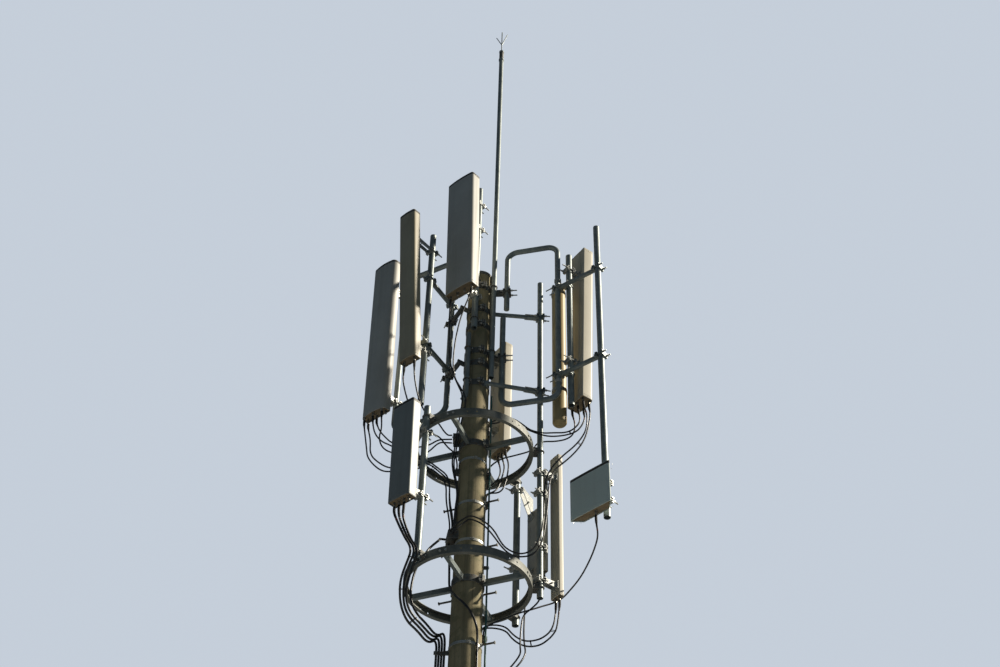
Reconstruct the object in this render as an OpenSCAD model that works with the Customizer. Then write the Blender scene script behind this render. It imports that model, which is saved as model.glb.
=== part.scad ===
// Cell tower: a tapered round pole with sector panels on bent pipe frames, two ring platforms,
// climbing pegs and a lightning rod.
// Origin at the centre of the pole's flat base, +Z up, +X along the ring arm on the right, -Y towards
// the front. All sizes in mm. What the pole carries is placed by its drop below the pole's head, so
// that it moves with the head.

/* [Pole] */
// height of the pole
pole_h = 14500; // [12000:10:17400]
// diameter at the ground
pole_d_base = 404; // [340:1:480]
// diameter at the head
pole_d_top = 272; // [230:1:325]

/* [Climbing pegs and straps] */
// drop of the highest pair of pegs below the head
peg_drop = 3440; // [3200:10:4000]
// height that the lowest pair keeps above the ground
peg_z_low = 3000; // [2500:10:3500]
// rise from pair to pair
peg_step = 575; // [480:5:690]
// reach of a peg from the axis of the pole
peg_reach = 310; // [300:1:370]
// thickness of a peg
peg_d = 20; // [17:1:24]
// height of a strap round the pole
strap_h = 30; // [25:1:36]

/* [Ring platforms] */
// outside diameter of both rings
ring_d = 1300; // [1090:5:1560]
// height of the channel that makes a ring
ring_h = 90; // [76:1:108]
// width of its two flanges
ring_flange = 42; // [35:1:50]
// thickness of its web and flanges
ring_t = 6; // [5:0.5:8]
// drop of the upper ring's middle below the head
ring_drop_upper = 2690; // [2600:10:2800]
// drop of the lower ring's middle below the head
ring_drop_lower = 4450; // [4300:10:4600]
// width of a ring arm
arm_w = 40; // [34:1:48]
// depth of a ring arm
arm_h = 60; // [50:1:70]
// pairs of holes round each ring
ring_hole_pairs = 8; // [6:1:9]
// diameter of these holes
ring_hole_d = 20; // [16:1:24]

/* [Pipes and frames] */
// diameter of most of the upright pipes
pipe_d = 73; // [61:1:87]
// diameter of the stand pipe on the right
stand_pipe_d = 66; // [55:1:79]
// wall of every open pipe
pipe_t = 5; // [4:0.5:6]
// diameter of the bent frame tube
frame_d = 66; // [55:1:79]
// bend radius of the frames, to the middle of the tube
frame_bend = 130; // [110:1:156]
// reach of the right frame, inner to outer leg
frame_reach_right = 620; // [540:5:740]
// reach of the left frame, inner to outer leg
frame_reach_left = 690; // [575:5:820]
// rise of both frames above the pole's head
frame_rise = 430; // [360:5:515]
// diameter of the straight bars between pipes
bar_d = 56; // [47:1:67]
// diameter of the two tie bars to the pole
tie_d = 50; // [42:1:60]
// height of a split band round the pole's head
band_h = 80; // [68:1:96]
// thickness of a split band
band_t = 8; // [7:1:10]
// thickness of clamp rods and U-bolts
rod_d = 14; // [12:1:16]

/* [Lightning rod] */
// diameter of the mast pipe
mast_d = 60; // [50:1:72]
// drop of its lower end below the head
mast_drop = 1720; // [1650:10:1790]
// rise of its upper end above the head
mast_rise = 4350; // [3625:10:5220]
// height of the insulator on it
insulator_h = 190; // [160:1:228]
// length of the middle prong above the insulator
prong_h = 500; // [420:1:600]

/* [Cables] */
// thickness of the feeder cables down the pole
feeder_d = 24; // [20:1:25]
// thickness of the jumper cables from the panels
jumper_d = 17; // [14:1:18]

/* [Panels] */
// width of the panel at the front of the pole's head
front_panel_w = 410; // [342:1:492]
// depth of it
front_panel_t = 150; // [125:1:180]
// height of it
front_panel_h = 1915; // [1600:5:2300]
// width of the narrow panel on the left
narrow_panel_w = 240; // [200:1:288]
// depth of it
narrow_panel_t = 120; // [100:1:144]
// height of it
narrow_panel_h = 2260; // [1885:5:2710]
// width of the wide panel on the far left
wide_panel_w = 360; // [300:1:430]
// depth of it
wide_panel_t = 130; // [109:1:156]
// height of it
wide_panel_h = 2400; // [2000:5:2880]
// width of the short panel under them
short_panel_w = 285; // [238:1:342]
// depth of it
short_panel_t = 125; // [105:1:150]
// height of it
short_panel_h = 1240; // [1035:5:1488]
// side of the square panel at the foot of the outer pipe
square_panel_w = 524; // [437:1:628]
// depth of it
square_panel_t = 112; // [94:1:134]
// width of the large panel on the right
right_panel_w = 284; // [237:1:340]
// depth of it
right_panel_t = 165; // [138:1:198]
// height of it
right_panel_h = 2470; // [2060:5:2960]
// width of the panel behind the pole
back_panel_w = 300; // [250:1:360]
// depth of it
back_panel_t = 130; // [108:1:156]
// height of it
back_panel_h = 1580; // [1320:5:1900]
// width of the slim panel on the right stand pipe
slim_panel_w = 150; // [125:1:180]
// depth of it
slim_panel_t = 70; // [58:1:84]
// height of it
slim_panel_h = 1820; // [1520:5:2180]
// width of the thin panel beside it
thin_panel_w = 94; // [79:1:112]
// depth of it
thin_panel_t = 50; // [42:1:60]
// height of it
thin_panel_h = 1325; // [1105:5:1590]
// width of the small panel on the rear stand pipe
small_panel_w = 240; // [200:1:288]
// depth of it
small_panel_t = 80; // [67:1:96]
// height of it
small_panel_h = 900; // [750:5:1080]
// diameter of the round panel on the right frame
round_panel_d = 160; // [134:1:192]
// height of it
round_panel_h = 2200; // [1840:5:2640]
// azimuth that the front panels face
face_front = 251; // [245:1:257]
// azimuth that the rear panels face
face_rear = 56; // [50:1:62]

/* [Hidden] */
// height of a point by its drop below the pole's head
function below(drop) = pole_h - drop;
// radius of the pole at a height
function pole_r(z) = pole_d_base / 2 + (pole_d_top - pole_d_base) / 2 * z / pole_h;
// a point in plan from a radius and an azimuth
function at(r, a) = [r * cos(a), r * sin(a)];
function azimuth(p, q = [0, 0]) = atan2(q[1] - p[1], q[0] - p[0]);
function span(p, q) = norm([q[0] - p[0], q[1] - p[1]]);
// clamps: depth of a jaw outside its pipe, thickness of its plates, its width past the pipe
jaw_t = 14;
plate_t = 6;
jaw_over = 37;
// split bands round the pole's head, and the azimuth of their ears
band_z = [below(260), below(640), below(900), below(1320), below(1510), below(1810)];
band_ear = 130;
ear_t = 12;
ear_gap = 12;
function band_r(z) = pole_r(z - band_h / 2) + band_t;
// rings: gap to a stand pipe, height and thickness of the split hub, azimuth of its ears
ring_r = ring_d / 2;
ring_gap = 40;
ring_z = [below(ring_drop_lower), below(ring_drop_upper)];
hub_h = 76;
hub_t = 12;
hub_ear = 158;
function hub_r(z) = pole_r(z - hub_h / 2) + hub_t;
// frames: heights of the two level runs, azimuths, and how much nearer the pole the right frame's
// lower inner leg stands
frame_z_high = pole_h + frame_rise;
frame_z_low = below(2050);
right_angle = 8;
left_angle = 172;
inner_step = 40;
// plan positions of the upright pipes
head_r = pole_r(pole_h);
stand_left = at(ring_r + ring_gap + pipe_d / 2, 249);
stand_right = at(ring_r + ring_gap + stand_pipe_d / 2, 22);
stand_rear = at(ring_r + ring_gap + pipe_d / 2, 69.5);
right_inner = at(head_r + 188, 17);
right_outer = right_inner + at(frame_reach_right, right_angle);
left_inner = at(head_r + 222, 180);
left_outer = left_inner + at(frame_reach_left, left_angle);
outrigger_angle = -15;
outer_pipe = right_outer + at(565, outrigger_angle);
pipe_seat = 8;
right_pipe = right_outer + at(115, outrigger_angle)
    + at(bar_d / 2 + pipe_seat + pipe_d / 2, outrigger_angle + 90);
narrow_pipe = left_inner + at(500, 261);
head_pipe = at(head_r + 89, 280);
back_pipe = at(head_r + 114, 90);
mast = at(head_r + 64, -12);
stub_d = 60;
stub_bend = 110;
stub_pipe = at(head_r + 64, 260);
// bare conductor: thickness, azimuth on the pole and distance off it
wire_d = 20;
wire_az = 23;
wire_off = 34;

// cables: sides of a cable's section, pieces of the curve round a point of a route
cable_sides = 8;
cable_steps = 2;
// cleats that hold the cables' ends on the pole: azimuth, height of the top, height, width, distance
// of the face off the pole
cleats = [[211, 10660, 100, 170, 85], [200, 12000, 90, 130, 78], [216, 11500, 60, 60, 42],
    [46, 12100, 70, 110, 42], [44, 11500, 60, 56, 42], [62, 11150, 60, 130, 42],
    [54, 9500, 60, 150, 42], [54, 8700, 60, 90, 42]];
// feeder row: azimuth, spacing of its clamps, distance of the outermost cable off the pole
feeder_az = 205;
feeder_step = 1200;
feeder_off = 118;

// routes of the cables, from the panel's plug to the cleat or the ground
wide_panel_routes = [
    [[-1300, -140, 12498], [-1300, -140, 12440], [-1200, -200, 12010], [-1170, -220, 11870],
     [-1080, -220, 11730], [-980, -210, 11630], [-880, -200, 11600], [-650, -180, 11590],
     [-450, -170, 11570], [-340, -170, 11470], [-230, -150, 11310], [-230, -140, 11090],
     [-190, -140, 10880], [-195, -85, 10800], [-195, -85, 10660]],
    [[-1280, -75, 12500], [-1280, -75, 12440], [-1210, -110, 12210], [-1170, -170, 11950],
     [-1060, -180, 11800], [-900, -180, 11660], [-660, -170, 11640], [-450, -170, 11630],
     [-320, -200, 11470], [-190, -150, 11330], [-190, -150, 11070], [-160, -140, 10860],
     [-160, -105, 10800], [-160, -105, 10660]],
    [[-1175, -180, 12498], [-1175, -180, 12440], [-1130, -210, 12250], [-1080, -210, 12140],
     [-1000, -210, 12040], [-910, -190, 11990], [-670, -180, 11760], [-460, -150, 11680],
     [-340, -160, 11540], [-230, -80, 11450], [-220, -70, 11120], [-180, -60, 10940], [-185, -35, 10800],
     [-185, -35, 10660]],
    [[-1155, -120, 12500], [-1155, -120, 12440], [-1090, -140, 12280], [-990, -150, 12140],
     [-920, -160, 12050], [-690, -160, 11910], [-470, -160, 11880], [-340, -190, 11910],
     [-275, -120, 11950], [-215, -100, 11950]],
    [[-1045, -225, 12498], [-1045, -225, 12440], [-1010, -250, 12210], [-1020, -280, 12070],
     [-980, -290, 11930], [-920, -280, 11850], [-860, -260, 11820], [-650, -210, 11690],
     [-460, -180, 11760], [-340, -180, 11880], [-285, -90, 11930], [-230, -65, 11930]],
];
front_panel_routes = [
    [[-195, -405, 13818], [-195, -405, 13760], [-210, -360, 13170], [-190, -330, 12910],
     [-160, -310, 12740], [-110, -260, 12580], [-30, -280, 12380], [-100, -180, 12200],
     [-110, -210, 11940], [-140, -190, 11700], [-170, -190, 11520], [-110, -110, 11190],
     [-130, -125, 10950], [-130, -125, 10660]],
    [[110, -510, 13818], [110, -510, 13760], [-10, -490, 13440], [-80, -460, 13120], [-120, -410, 12780],
     [-110, -360, 12600], [-60, -300, 12500], [10, -270, 12330], [-50, -210, 12170], [-80, -230, 11920],
     [-110, -210, 11670], [-140, -210, 11490], [-100, -120, 11190], [-110, -140, 10950],
     [-110, -140, 10660]],
    [[-580, -680, 12645], [-580, -680, 12585], [-600, -650, 12430], [-530, -500, 12070],
     [-420, -390, 11920], [-350, -310, 11890], [-290, -260, 11880], [-220, -190, 11760],
     [-160, -140, 11720], [-140, -100, 11600], [-140, -100, 11500]],
    [[-435, -730, 12645], [-435, -730, 12585], [-450, -670, 12430], [-430, -540, 12180],
     [-350, -420, 12020], [-310, -330, 12070], [-265, -145, 11985], [-205, -125, 11985]],
];
right_panel_routes = [
    [[1135, 405, 12411], [1135, 405, 12355], [1150, 400, 12250], [1090, 370, 12090], [1000, 330, 12020],
     [860, 270, 11980], [750, 210, 11970], [620, 180, 12040], [500, 180, 12140], [400, 170, 12240],
     [300, 160, 12300], [200, 150, 12260], [130, 110, 12250], [130, 110, 12100]],
    [[1090, 340, 12414], [1090, 340, 12355], [1120, 340, 12190], [1060, 310, 12070], [970, 280, 12010],
     [840, 220, 12000], [740, 170, 11980], [600, 140, 12040], [500, 170, 12180], [390, 180, 12300],
     [270, 180, 12370], [190, 190, 12350], [105, 135, 12280], [105, 135, 12100]],
    [[1005, 390, 12414], [1005, 390, 12355], [1030, 420, 12230], [1010, 420, 12090], [930, 410, 12030],
     [800, 390, 12020], [690, 360, 12030], [600, 350, 12020], [570, 320, 11900], [390, 230, 11810],
     [250, 140, 11730], [125, 120, 11620], [125, 120, 11500]],
    [[1215, 350, 12411], [1215, 350, 12355], [1230, 350, 12270], [1200, 330, 12020], [1150, 310, 11850],
     [1070, 280, 11710], [970, 240, 11580], [860, 190, 11460], [810, 160, 11280], [800, 160, 11050],
     [780, 150, 10790], [750, 130, 10500], [670, 100, 10350], [580, 60, 10310], [470, 20, 10320],
     [380, -20, 10400], [270, -70, 10590], [190, -130, 10690], [70, -180, 10750], [10, -160, 10740],
     [-80, -225, 10610], [-115, -170, 10610]],
    [[1170, 285, 12414], [1170, 285, 12355], [1210, 300, 12220], [1200, 290, 12010], [1140, 280, 11880],
     [1060, 250, 11760], [950, 210, 11640], [850, 180, 11510], [770, 150, 11330], [760, 140, 11040],
     [760, 130, 10770], [730, 100, 10510], [650, 70, 10370], [550, 30, 10330], [460, -10, 10360],
     [380, -50, 10430], [300, -90, 10620], [200, -170, 10710], [90, -220, 10760], [10, -200, 10750],
     [-105, -235, 10640], [-135, -185, 10640]],
];
back_panel_routes = [
    [[215, 400, 12061], [215, 400, 12000], [270, 380, 11840], [270, 310, 11560], [240, 240, 11340],
     [110, 135, 11300], [110, 135, 11150]],
    [[160, 440, 12061], [160, 440, 12000], [210, 410, 11830], [200, 330, 11600], [180, 270, 11410],
     [80, 155, 11300], [80, 155, 11150]],
    [[100, 480, 12061], [100, 480, 12000], [150, 440, 11830], [150, 380, 11650], [50, 165, 11350],
     [50, 165, 11150]],
];
low_panel_routes = [
    [[1380, -55, 10550], [1380, -55, 10460], [1360, 70, 10390], [1280, 180, 10320], [1180, 290, 10250],
     [1050, 420, 10190], [920, 510, 10140], [770, 670, 10160], [690, 620, 10090], [610, 520, 10010],
     [540, 440, 9940], [430, 330, 9850], [370, 230, 9760], [140, 115, 9620], [140, 115, 9500]],
    [[770, 470, 9981], [770, 470, 9920], [760, 450, 9750], [730, 430, 9640], [680, 400, 9570],
     [610, 370, 9520], [500, 310, 9490], [400, 270, 9550], [320, 210, 9660], [105, 145, 9660],
     [105, 145, 9500]],
    [[820, 435, 9981], [820, 435, 9920], [800, 430, 9710], [780, 420, 9610], [710, 400, 9520],
     [620, 370, 9450], [490, 320, 9440], [380, 280, 9520], [310, 250, 9640], [70, 170, 9660],
     [70, 170, 9500]],
    [[670, 400, 10286], [670, 400, 10225], [650, 360, 10030], [630, 340, 9940], [570, 290, 9840],
     [500, 250, 9760], [490, 220, 9600], [490, 200, 9380], [480, 260, 9290], [125, 135, 8850],
     [125, 135, 8700]],
    [[365, 870, 10531], [365, 870, 10470], [330, 760, 10260], [360, 660, 10020], [410, 510, 9640],
     [510, 350, 9310], [90, 160, 8850], [90, 160, 8700]],
];
feeder_routes = [
    [[-440, -900, 10499], [-440, -900, 10440], [-410, -890, 10350], [-310, -890, 10120],
     [-270, -840, 10050], [-250, -840, 9960], [-320, -780, 9880], [-390, -720, 9790], [-430, -660, 9700],
     [-460, -550, 9580], [-440, -430, 9470], [-380, -300, 9430], [-330, -160, 9360], [-251, -117, 9420],
     [-252, -118, 9150], [-290, -135, 0]],
    [[-380, -920, 10499], [-380, -920, 10440], [-370, -910, 10340], [-290, -850, 10120],
     [-240, -820, 10050], [-230, -810, 9960], [-300, -760, 9880], [-360, -700, 9790], [-400, -640, 9700],
     [-430, -540, 9580], [-410, -440, 9500], [-350, -310, 9450], [-290, -170, 9370], [-227, -106, 9450],
     [-229, -107, 9150], [-266, -124, 0]],
    [[-315, -945, 10499], [-315, -945, 10440], [-330, -920, 10330], [-270, -820, 10120],
     [-220, -800, 10050], [-200, -790, 9960], [-270, -730, 9880], [-330, -680, 9790], [-380, -620, 9690],
     [-400, -540, 9590], [-380, -450, 9520], [-320, -320, 9460], [-250, -200, 9380], [-204, -95, 9480],
     [-205, -96, 9150], [-243, -113, 0]],
    [[-195, -85, 10560], [-195, -85, 10500], [-160, -130, 10330], [-160, -110, 10150],
     [-140, -140, 9960], [-40, -200, 9820], [50, -200, 9720], [120, -170, 9620], [180, -170, 9460],
     [158, -80, 9400], [157, -80, 9150], [194, -99, 0]],
    [[-225, -100, 10610], [-280, -135, 10610], [-170, -350, 10430], [-270, -370, 10340],
     [-280, -450, 10210], [-350, -440, 10120], [-390, -450, 10000], [-400, -480, 9780],
     [-400, -440, 9660], [-350, -390, 9550], [-290, -300, 9490], [-200, -240, 9360], [-180, -84, 9510],
     [-182, -85, 9150], [-219, -102, 0]],
];

// general shapes

module pole_body() {
    cylinder(h = pole_h, r1 = pole_r(0), r2 = pole_r(pole_h), $fn = 96);
}

// upright open pipe at p from z0 to z1
module pipe(p, z0, z1, d = pipe_d, t = pipe_t) {
    translate([p[0], p[1], z0]) difference() {
        cylinder(h = z1 - z0, d = d, $fn = 32);
        translate([0, 0, -1]) cylinder(h = z1 - z0 + 2, d = d - 2 * t, $fn = 32);
    }
}

// the space that an upright pipe at p takes near height z
module pipe_space(p, z, d) {
    translate([p[0], p[1], z]) cylinder(h = 400, d = d, center = true, $fn = 32);
}

// round bar at height z along azimuth a, from s to e measured from p
module bar(p, a, z, s, e, d) {
    translate([p[0], p[1], z]) rotate([0, 0, a]) translate([s, 0, 0]) rotate([0, 90, 0])
        cylinder(h = e - s, d = d, $fn = 32);
}

// puts children at a with their +Z along v
module along(a, v) {
    translate(a) rotate([0, 0, atan2(v[1], v[0])]) rotate([0, atan2(norm([v[0], v[1]]), v[2]), 0])
        children();
}

// pieces of a bent tube in the XZ plane: upright, level, and a bend round x and z that starts q
// quarter turns on from +X
module leg(x, z0, z1, d = frame_d) {
    translate([x, 0, z0]) cylinder(h = z1 - z0, d = d, $fn = 32);
}

module run(z, x0, x1, d = frame_d) {
    translate([x0, 0, z]) rotate([0, 90, 0]) cylinder(h = x1 - x0, d = d, $fn = 32);
}

module bend(x, z, q, d = frame_d, r = frame_bend, turn = 90) {
    translate([x, 0, z]) rotate([0, -90 * q, 0]) rotate([90, 0, 0]) rotate_extrude(angle = turn, $fn = 48)
        translate([r, 0]) circle(d = d, $fn = 32);
}

// channel that grips a pipe from its +X side, its flanges cut to the pipe
module jaw(d, w, h) {
    difference() {
        translate([d * 0.3, -w / 2, -h / 2]) cube([d * 0.2 + jaw_t, w, h]);
        translate([0, -w / 2 - 1, -h / 2 + plate_t]) cube([d / 2 + jaw_t - plate_t, w + 2, h - 2 * plate_t]);
        cylinder(h = h + 2, d = d, center = true, $fn = 32);
    }
}

// clamp round an upright pipe: two jaws drawn together along azimuth a by two rods
module pipe_clamp(p, z, a, d, h = 64, front = 70, back = 110) {
    w = d + jaw_over;
    translate([p[0], p[1], z]) rotate([0, 0, a]) {
        jaw(d, w, h);
        rotate([0, 0, 180]) jaw(d, w, h);
        for (s = [-1, 1]) translate([-d / 2 - back, s * (d + rod_d) / 2, 0]) rotate([0, 90, 0])
            cylinder(h = d + back + front, d = rod_d, $fn = 16);
    }
}

// U-bolt round an upright pipe at the origin, its bow towards +X and its ends back at -X
module ubolt(d, back) {
    rotate([0, 0, -90]) rotate_extrude(angle = 180, $fn = 48) translate([(d + rod_d) / 2, 0])
        circle(d = rod_d, $fn = 16);
    for (s = [-1, 1]) translate([-back, s * (d + rod_d) / 2, 0]) rotate([0, 90, 0])
        cylinder(h = back, d = rod_d, $fn = 16);
}

// pole and what sits straight on it

module pole() {
    color("#8d8878") pole_body();
}

module pole_cap() {
    color("#6f7270") difference() {
        translate([0, 0, pole_h - 45]) cylinder(h = 53, r = head_r + 9, $fn = 96);
        pole_body();
    }
}

peg_count = 1 + floor((below(peg_drop) - peg_z_low) / peg_step);
function peg_z(i) = below(peg_drop) - i * peg_step;

module peg_shanks() {
    for (i = [0 : peg_count - 1]) translate([-peg_reach, 0, peg_z(i)]) rotate([0, 90, 0])
        cylinder(h = 2 * peg_reach, d = peg_d, $fn = 20);
}

module climbing_pegs() {
    color("#5b5f5e") difference() {
        union() {
            peg_shanks();
            for (i = [0 : peg_count - 1], x = [-peg_reach, peg_reach - 8])
                translate([x, 0, peg_z(i)]) rotate([0, 90, 0]) cylinder(h = 8, d = peg_d + 14, $fn = 20);
        }
        pole_body();
    }
}

module pole_straps() {
    color("#a9aba6") for (z = [below(5190), below(3975), below(3490), below(2910)]) difference() {
        translate([0, 0, z - strap_h / 2]) cylinder(h = strap_h, r = pole_r(z - strap_h / 2) + 5, $fn = 96);
        pole_body();
        peg_shanks();
    }
}

// ring round the pole, split in two at azimuth a, with bolted ears
module split_ring(z, r, h, a, reach) {
    w = 2 * ear_t + ear_gap;
    difference() {
        union() {
            translate([0, 0, z - h / 2]) cylinder(h = h, r = r, $fn = 96);
            for (s = [0, 180]) rotate([0, 0, a + s]) translate([r - 20, -w / 2, z - h / 2])
                cube([20 + reach, w, h]);
        }
        pole_body();
        for (s = [0, 180]) rotate([0, 0, a + s]) translate([0, -ear_gap / 2, z - h])
            cube([r + reach + 1, ear_gap, 2 * h]);
    }
}

module head_bands() {
    color("#5d6361") for (z = band_z) split_ring(z, band_r(z), band_h, band_ear, 48);
}

// curved pad on a head band at azimuth a, with an arm from it out to distance e
module band_arm(z, a, e, w, h = 60) {
    difference() {
        rotate([0, 0, a]) translate([band_r(z) - 30, -w / 2, z - h / 2]) cube([e - band_r(z) + 30, w, h]);
        translate([0, 0, z - band_h]) cylinder(h = 2 * band_h, r = band_r(z), $fn = 96);
    }
    difference() {
        translate([0, 0, z - band_h / 2]) cylinder(h = band_h, r = band_r(z) + 8, $fn = 96);
        translate([0, 0, z - band_h]) cylinder(h = 2 * band_h, r = band_r(z), $fn = 96);
        rotate([0, 0, a]) {
            translate([-400, -400, z - band_h]) cube([400, 800, 2 * band_h]);
            for (y = [w / 2 + 8, -w / 2 - 408]) translate([-1, y, z - band_h]) cube([400, 400, 2 * band_h]);
        }
    }
}

// stand-off from a head band to an upright pipe at p, with a U-bolt round the pipe
module stand_off(p, z, d, w = 60) {
    a = atan2(p[1], p[0]);
    difference() {
        band_arm(z, a, norm(p), w);
        pipe_space(p, z, d);
    }
    translate([p[0], p[1], z]) rotate([0, 0, a]) ubolt(d, min(40, norm(p) - band_r(z) - 8));
}

// lightning rod

module lightning_mast() {
    color("#8f9690") pipe(mast, below(mast_drop), pole_h + mast_rise, mast_d, 4);
}

// insulator in its two collars, a middle prong and two spread ones
module lightning_tip() {
    color("#7f8682") translate([mast[0], mast[1], pole_h + mast_rise]) {
        cylinder(h = 24, d = mast_d + 14, $fn = 32);
        cylinder(h = insulator_h, d = mast_d - 6, $fn = 32);
        translate([0, 0, insulator_h]) cylinder(h = 20, d = mast_d + 8, $fn = 32);
        translate([0, 0, insulator_h]) cylinder(h = prong_h, d = 14, $fn = 16);
        for (s = [-1, 1]) along([0, 0, insulator_h + 190], [s * 82, 0, 210])
            cylinder(h = 225, d = 12, $fn = 16);
    }
}

module lightning_clamps() {
    color("#565b5a") for (z = [band_z[0], band_z[3]]) stand_off(mast, z, mast_d, 50);
}

// ring platforms

// channel bent to a ring, open inwards, with pairs of holes through its web
module ring(z) {
    translate([0, 0, z]) difference() {
        rotate_extrude($fn = 128) translate([ring_r, 0]) polygon([[0, -ring_h / 2], [0, ring_h / 2],
            [-ring_flange, ring_h / 2], [-ring_flange, ring_h / 2 - ring_t], [-ring_t, ring_h / 2 - ring_t],
            [-ring_t, -ring_h / 2 + ring_t], [-ring_flange, -ring_h / 2 + ring_t],
            [-ring_flange, -ring_h / 2]]);
        for (i = [0 : ring_hole_pairs - 1], s = [-1, 1])
            rotate([0, 0, 290.5 + i * 360 / ring_hole_pairs + s * 4.4]) translate([ring_r - 20, 0, 0])
                rotate([0, 90, 0]) cylinder(h = 40, d = ring_hole_d, $fn = 20);
    }
}

module ring_lower() { color("#9aa3a0") ring(ring_z[0]); }
module ring_upper() { color("#9aa3a0") ring(ring_z[1]); }

// four arms from the hub, each ending in a foot plate inside the channel
module ring_arms() {
    color("#8c9492") for (z = ring_z, a = [0, 90, 180, 270]) difference() {
        intersection() {
            translate([0, 0, z]) rotate([0, 0, a]) {
                translate([0, -arm_w / 2, -arm_h / 2]) cube([ring_r, arm_w, arm_h]);
                translate([ring_r - ring_t - 12, -45, -ring_h / 2 + ring_t])
                    cube([30, 90, ring_h - 2 * ring_t]);
            }
            translate([0, 0, z - ring_h]) cylinder(h = 2 * ring_h, r = ring_r - ring_t, $fn = 128);
        }
        translate([0, 0, z - ring_h]) cylinder(h = 2 * ring_h, r = hub_r(z), $fn = 96);
    }
}

module ring_hubs() {
    color("#7d8583") for (z = ring_z) split_ring(z, hub_r(z), hub_h, hub_ear, 55);
}

// saddle block and U-bolt between a ring and a stand pipe
module ring_clamp(p, z, d) {
    a = atan2(p[1], p[0]);
    difference() {
        translate([0, 0, z]) rotate([0, 0, a]) translate([ring_r - 30, -48, -32])
            cube([30 + ring_gap + d / 2, 96, 64]);
        translate([0, 0, z - ring_h]) cylinder(h = 2 * ring_h, r = ring_r, $fn = 128);
        pipe_space(p, z, d);
    }
    translate([p[0], p[1], z]) rotate([0, 0, a]) ubolt(d, d / 2 + ring_gap - 5);
}

module ring_clamps() {
    color("#6a706e") for (z = ring_z) {
        ring_clamp(stand_left, z, pipe_d);
        ring_clamp(stand_right, z, stand_pipe_d);
        ring_clamp(stand_rear, z, pipe_d);
    }
}

// upright pipes

module stand_pipe_left() { color("#98a09c") pipe(stand_left, below(4520), below(2550)); }
module stand_pipe_right() { color("#98a09c") pipe(stand_right, below(4570), below(60), stand_pipe_d); }
module stand_pipe_rear() { color("#98a09c") pipe(stand_rear, below(4550), below(2640)); }
module outer_pipe_right() { color("#98a09c") pipe(outer_pipe, below(3940), pole_h + 410); }
module right_panel_pipe() { color("#98a09c") pipe(right_pipe, below(2170), pole_h + 240); }
module narrow_panel_pipe() { color("#98a09c") pipe(narrow_pipe, below(2300), pole_h + 420); }
module head_panel_pipe() { color("#98a09c") pipe(head_pipe, below(1050), pole_h + 1400); }
module back_panel_pipe() { color("#98a09c") pipe(back_pipe, below(2300), below(550)); }

// short pipe on the front of the pole, its foot bent to the left and open
module bent_stub_pipe() {
    color("#8f9793") translate([stub_pipe[0], stub_pipe[1], below(2100)]) rotate([0, 0, 160]) difference() {
        union() {
            leg(0, stub_bend, 1010, stub_d);
            bend(stub_bend, stub_bend, 2, stub_d, stub_bend, 60);
        }
        leg(0, 930, 1020, stub_d - 2 * pipe_t);
        bend(stub_bend, stub_bend, 2, stub_d - 2 * pipe_t, stub_bend, 62);
    }
}

module pipe_stand_offs() {
    color("#5d6361") {
        for (z = [band_z[0], band_z[2]]) stand_off(head_pipe, z, pipe_d);
        for (z = [band_z[2], band_z[5]]) stand_off(back_pipe, z, pipe_d);
        for (z = [band_z[3], band_z[5]]) stand_off(stub_pipe, z, stub_d, 50);
    }
}

// bent frames

module frame_right() {
    r = frame_bend;
    w = frame_reach_right;
    color("#8f9793") translate([right_inner[0], right_inner[1], 0]) rotate([0, 0, right_angle])
    difference() {
        union() {
            leg(0, below(540), frame_z_high - r);
            bend(r, frame_z_high - r, 1);
            run(frame_z_high, r, w - r);
            bend(w - r, frame_z_high - r, 0);
            leg(w, frame_z_low + r, frame_z_high - r);
            bend(w - r, frame_z_low + r, 3);
            run(frame_z_low, r - inner_step, w - r);
            bend(r - inner_step, frame_z_low + r, 2);
            leg(-inner_step, frame_z_low + r, below(680));
        }
        leg(0, below(550), below(460), frame_d - 2 * pipe_t);
        leg(-inner_step, below(760), below(670), frame_d - 2 * pipe_t);
    }
}

module frame_left() {
    r = frame_bend;
    w = frame_reach_left;
    color("#8f9793") translate([left_inner[0], left_inner[1], 0]) rotate([0, 0, left_angle]) {
        leg(0, frame_z_low + r, frame_z_high - r);
        bend(r, frame_z_high - r, 1);
        run(frame_z_high, r, w - r);
        bend(w - r, frame_z_high - r, 0);
        leg(w, frame_z_low + r, frame_z_high - r);
        bend(w - r, frame_z_low + r, 3);
        run(frame_z_low, r, w - r);
        bend(r, frame_z_low + r, 2);
    }
}

// arms straight out from two head bands to clamps on the right frame's inner legs
module frame_right_mounts() {
    color("#5d6361") for (k = [[band_z[0], 0], [band_z[3], inner_step]]) {
        p = right_inner - at(k[1], right_angle);
        a = atan2(p[1], p[0]);
        band_arm(k[0], a, norm(p) - frame_d / 2 - jaw_t, 60);
        pipe_clamp(p, k[0], a, frame_d, back = 50, front = 90);
    }
}

// lugs on two head bands, and bars from them to clamps on the left frame's inner leg
module frame_left_mounts() {
    lug = 236;
    lug_r = head_r + 100;
    foot = at(lug_r, lug);
    a = azimuth(left_inner, foot);
    color("#5d6361") for (z = [band_z[1], band_z[4]]) {
        band_arm(z, lug, lug_r + 26, 22);
        bar(left_inner, a, z, frame_d / 2 + jaw_t - 1, span(left_inner, foot), bar_d);
        pipe_clamp(left_inner, z, a, frame_d, back = 70);
    }
}

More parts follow.
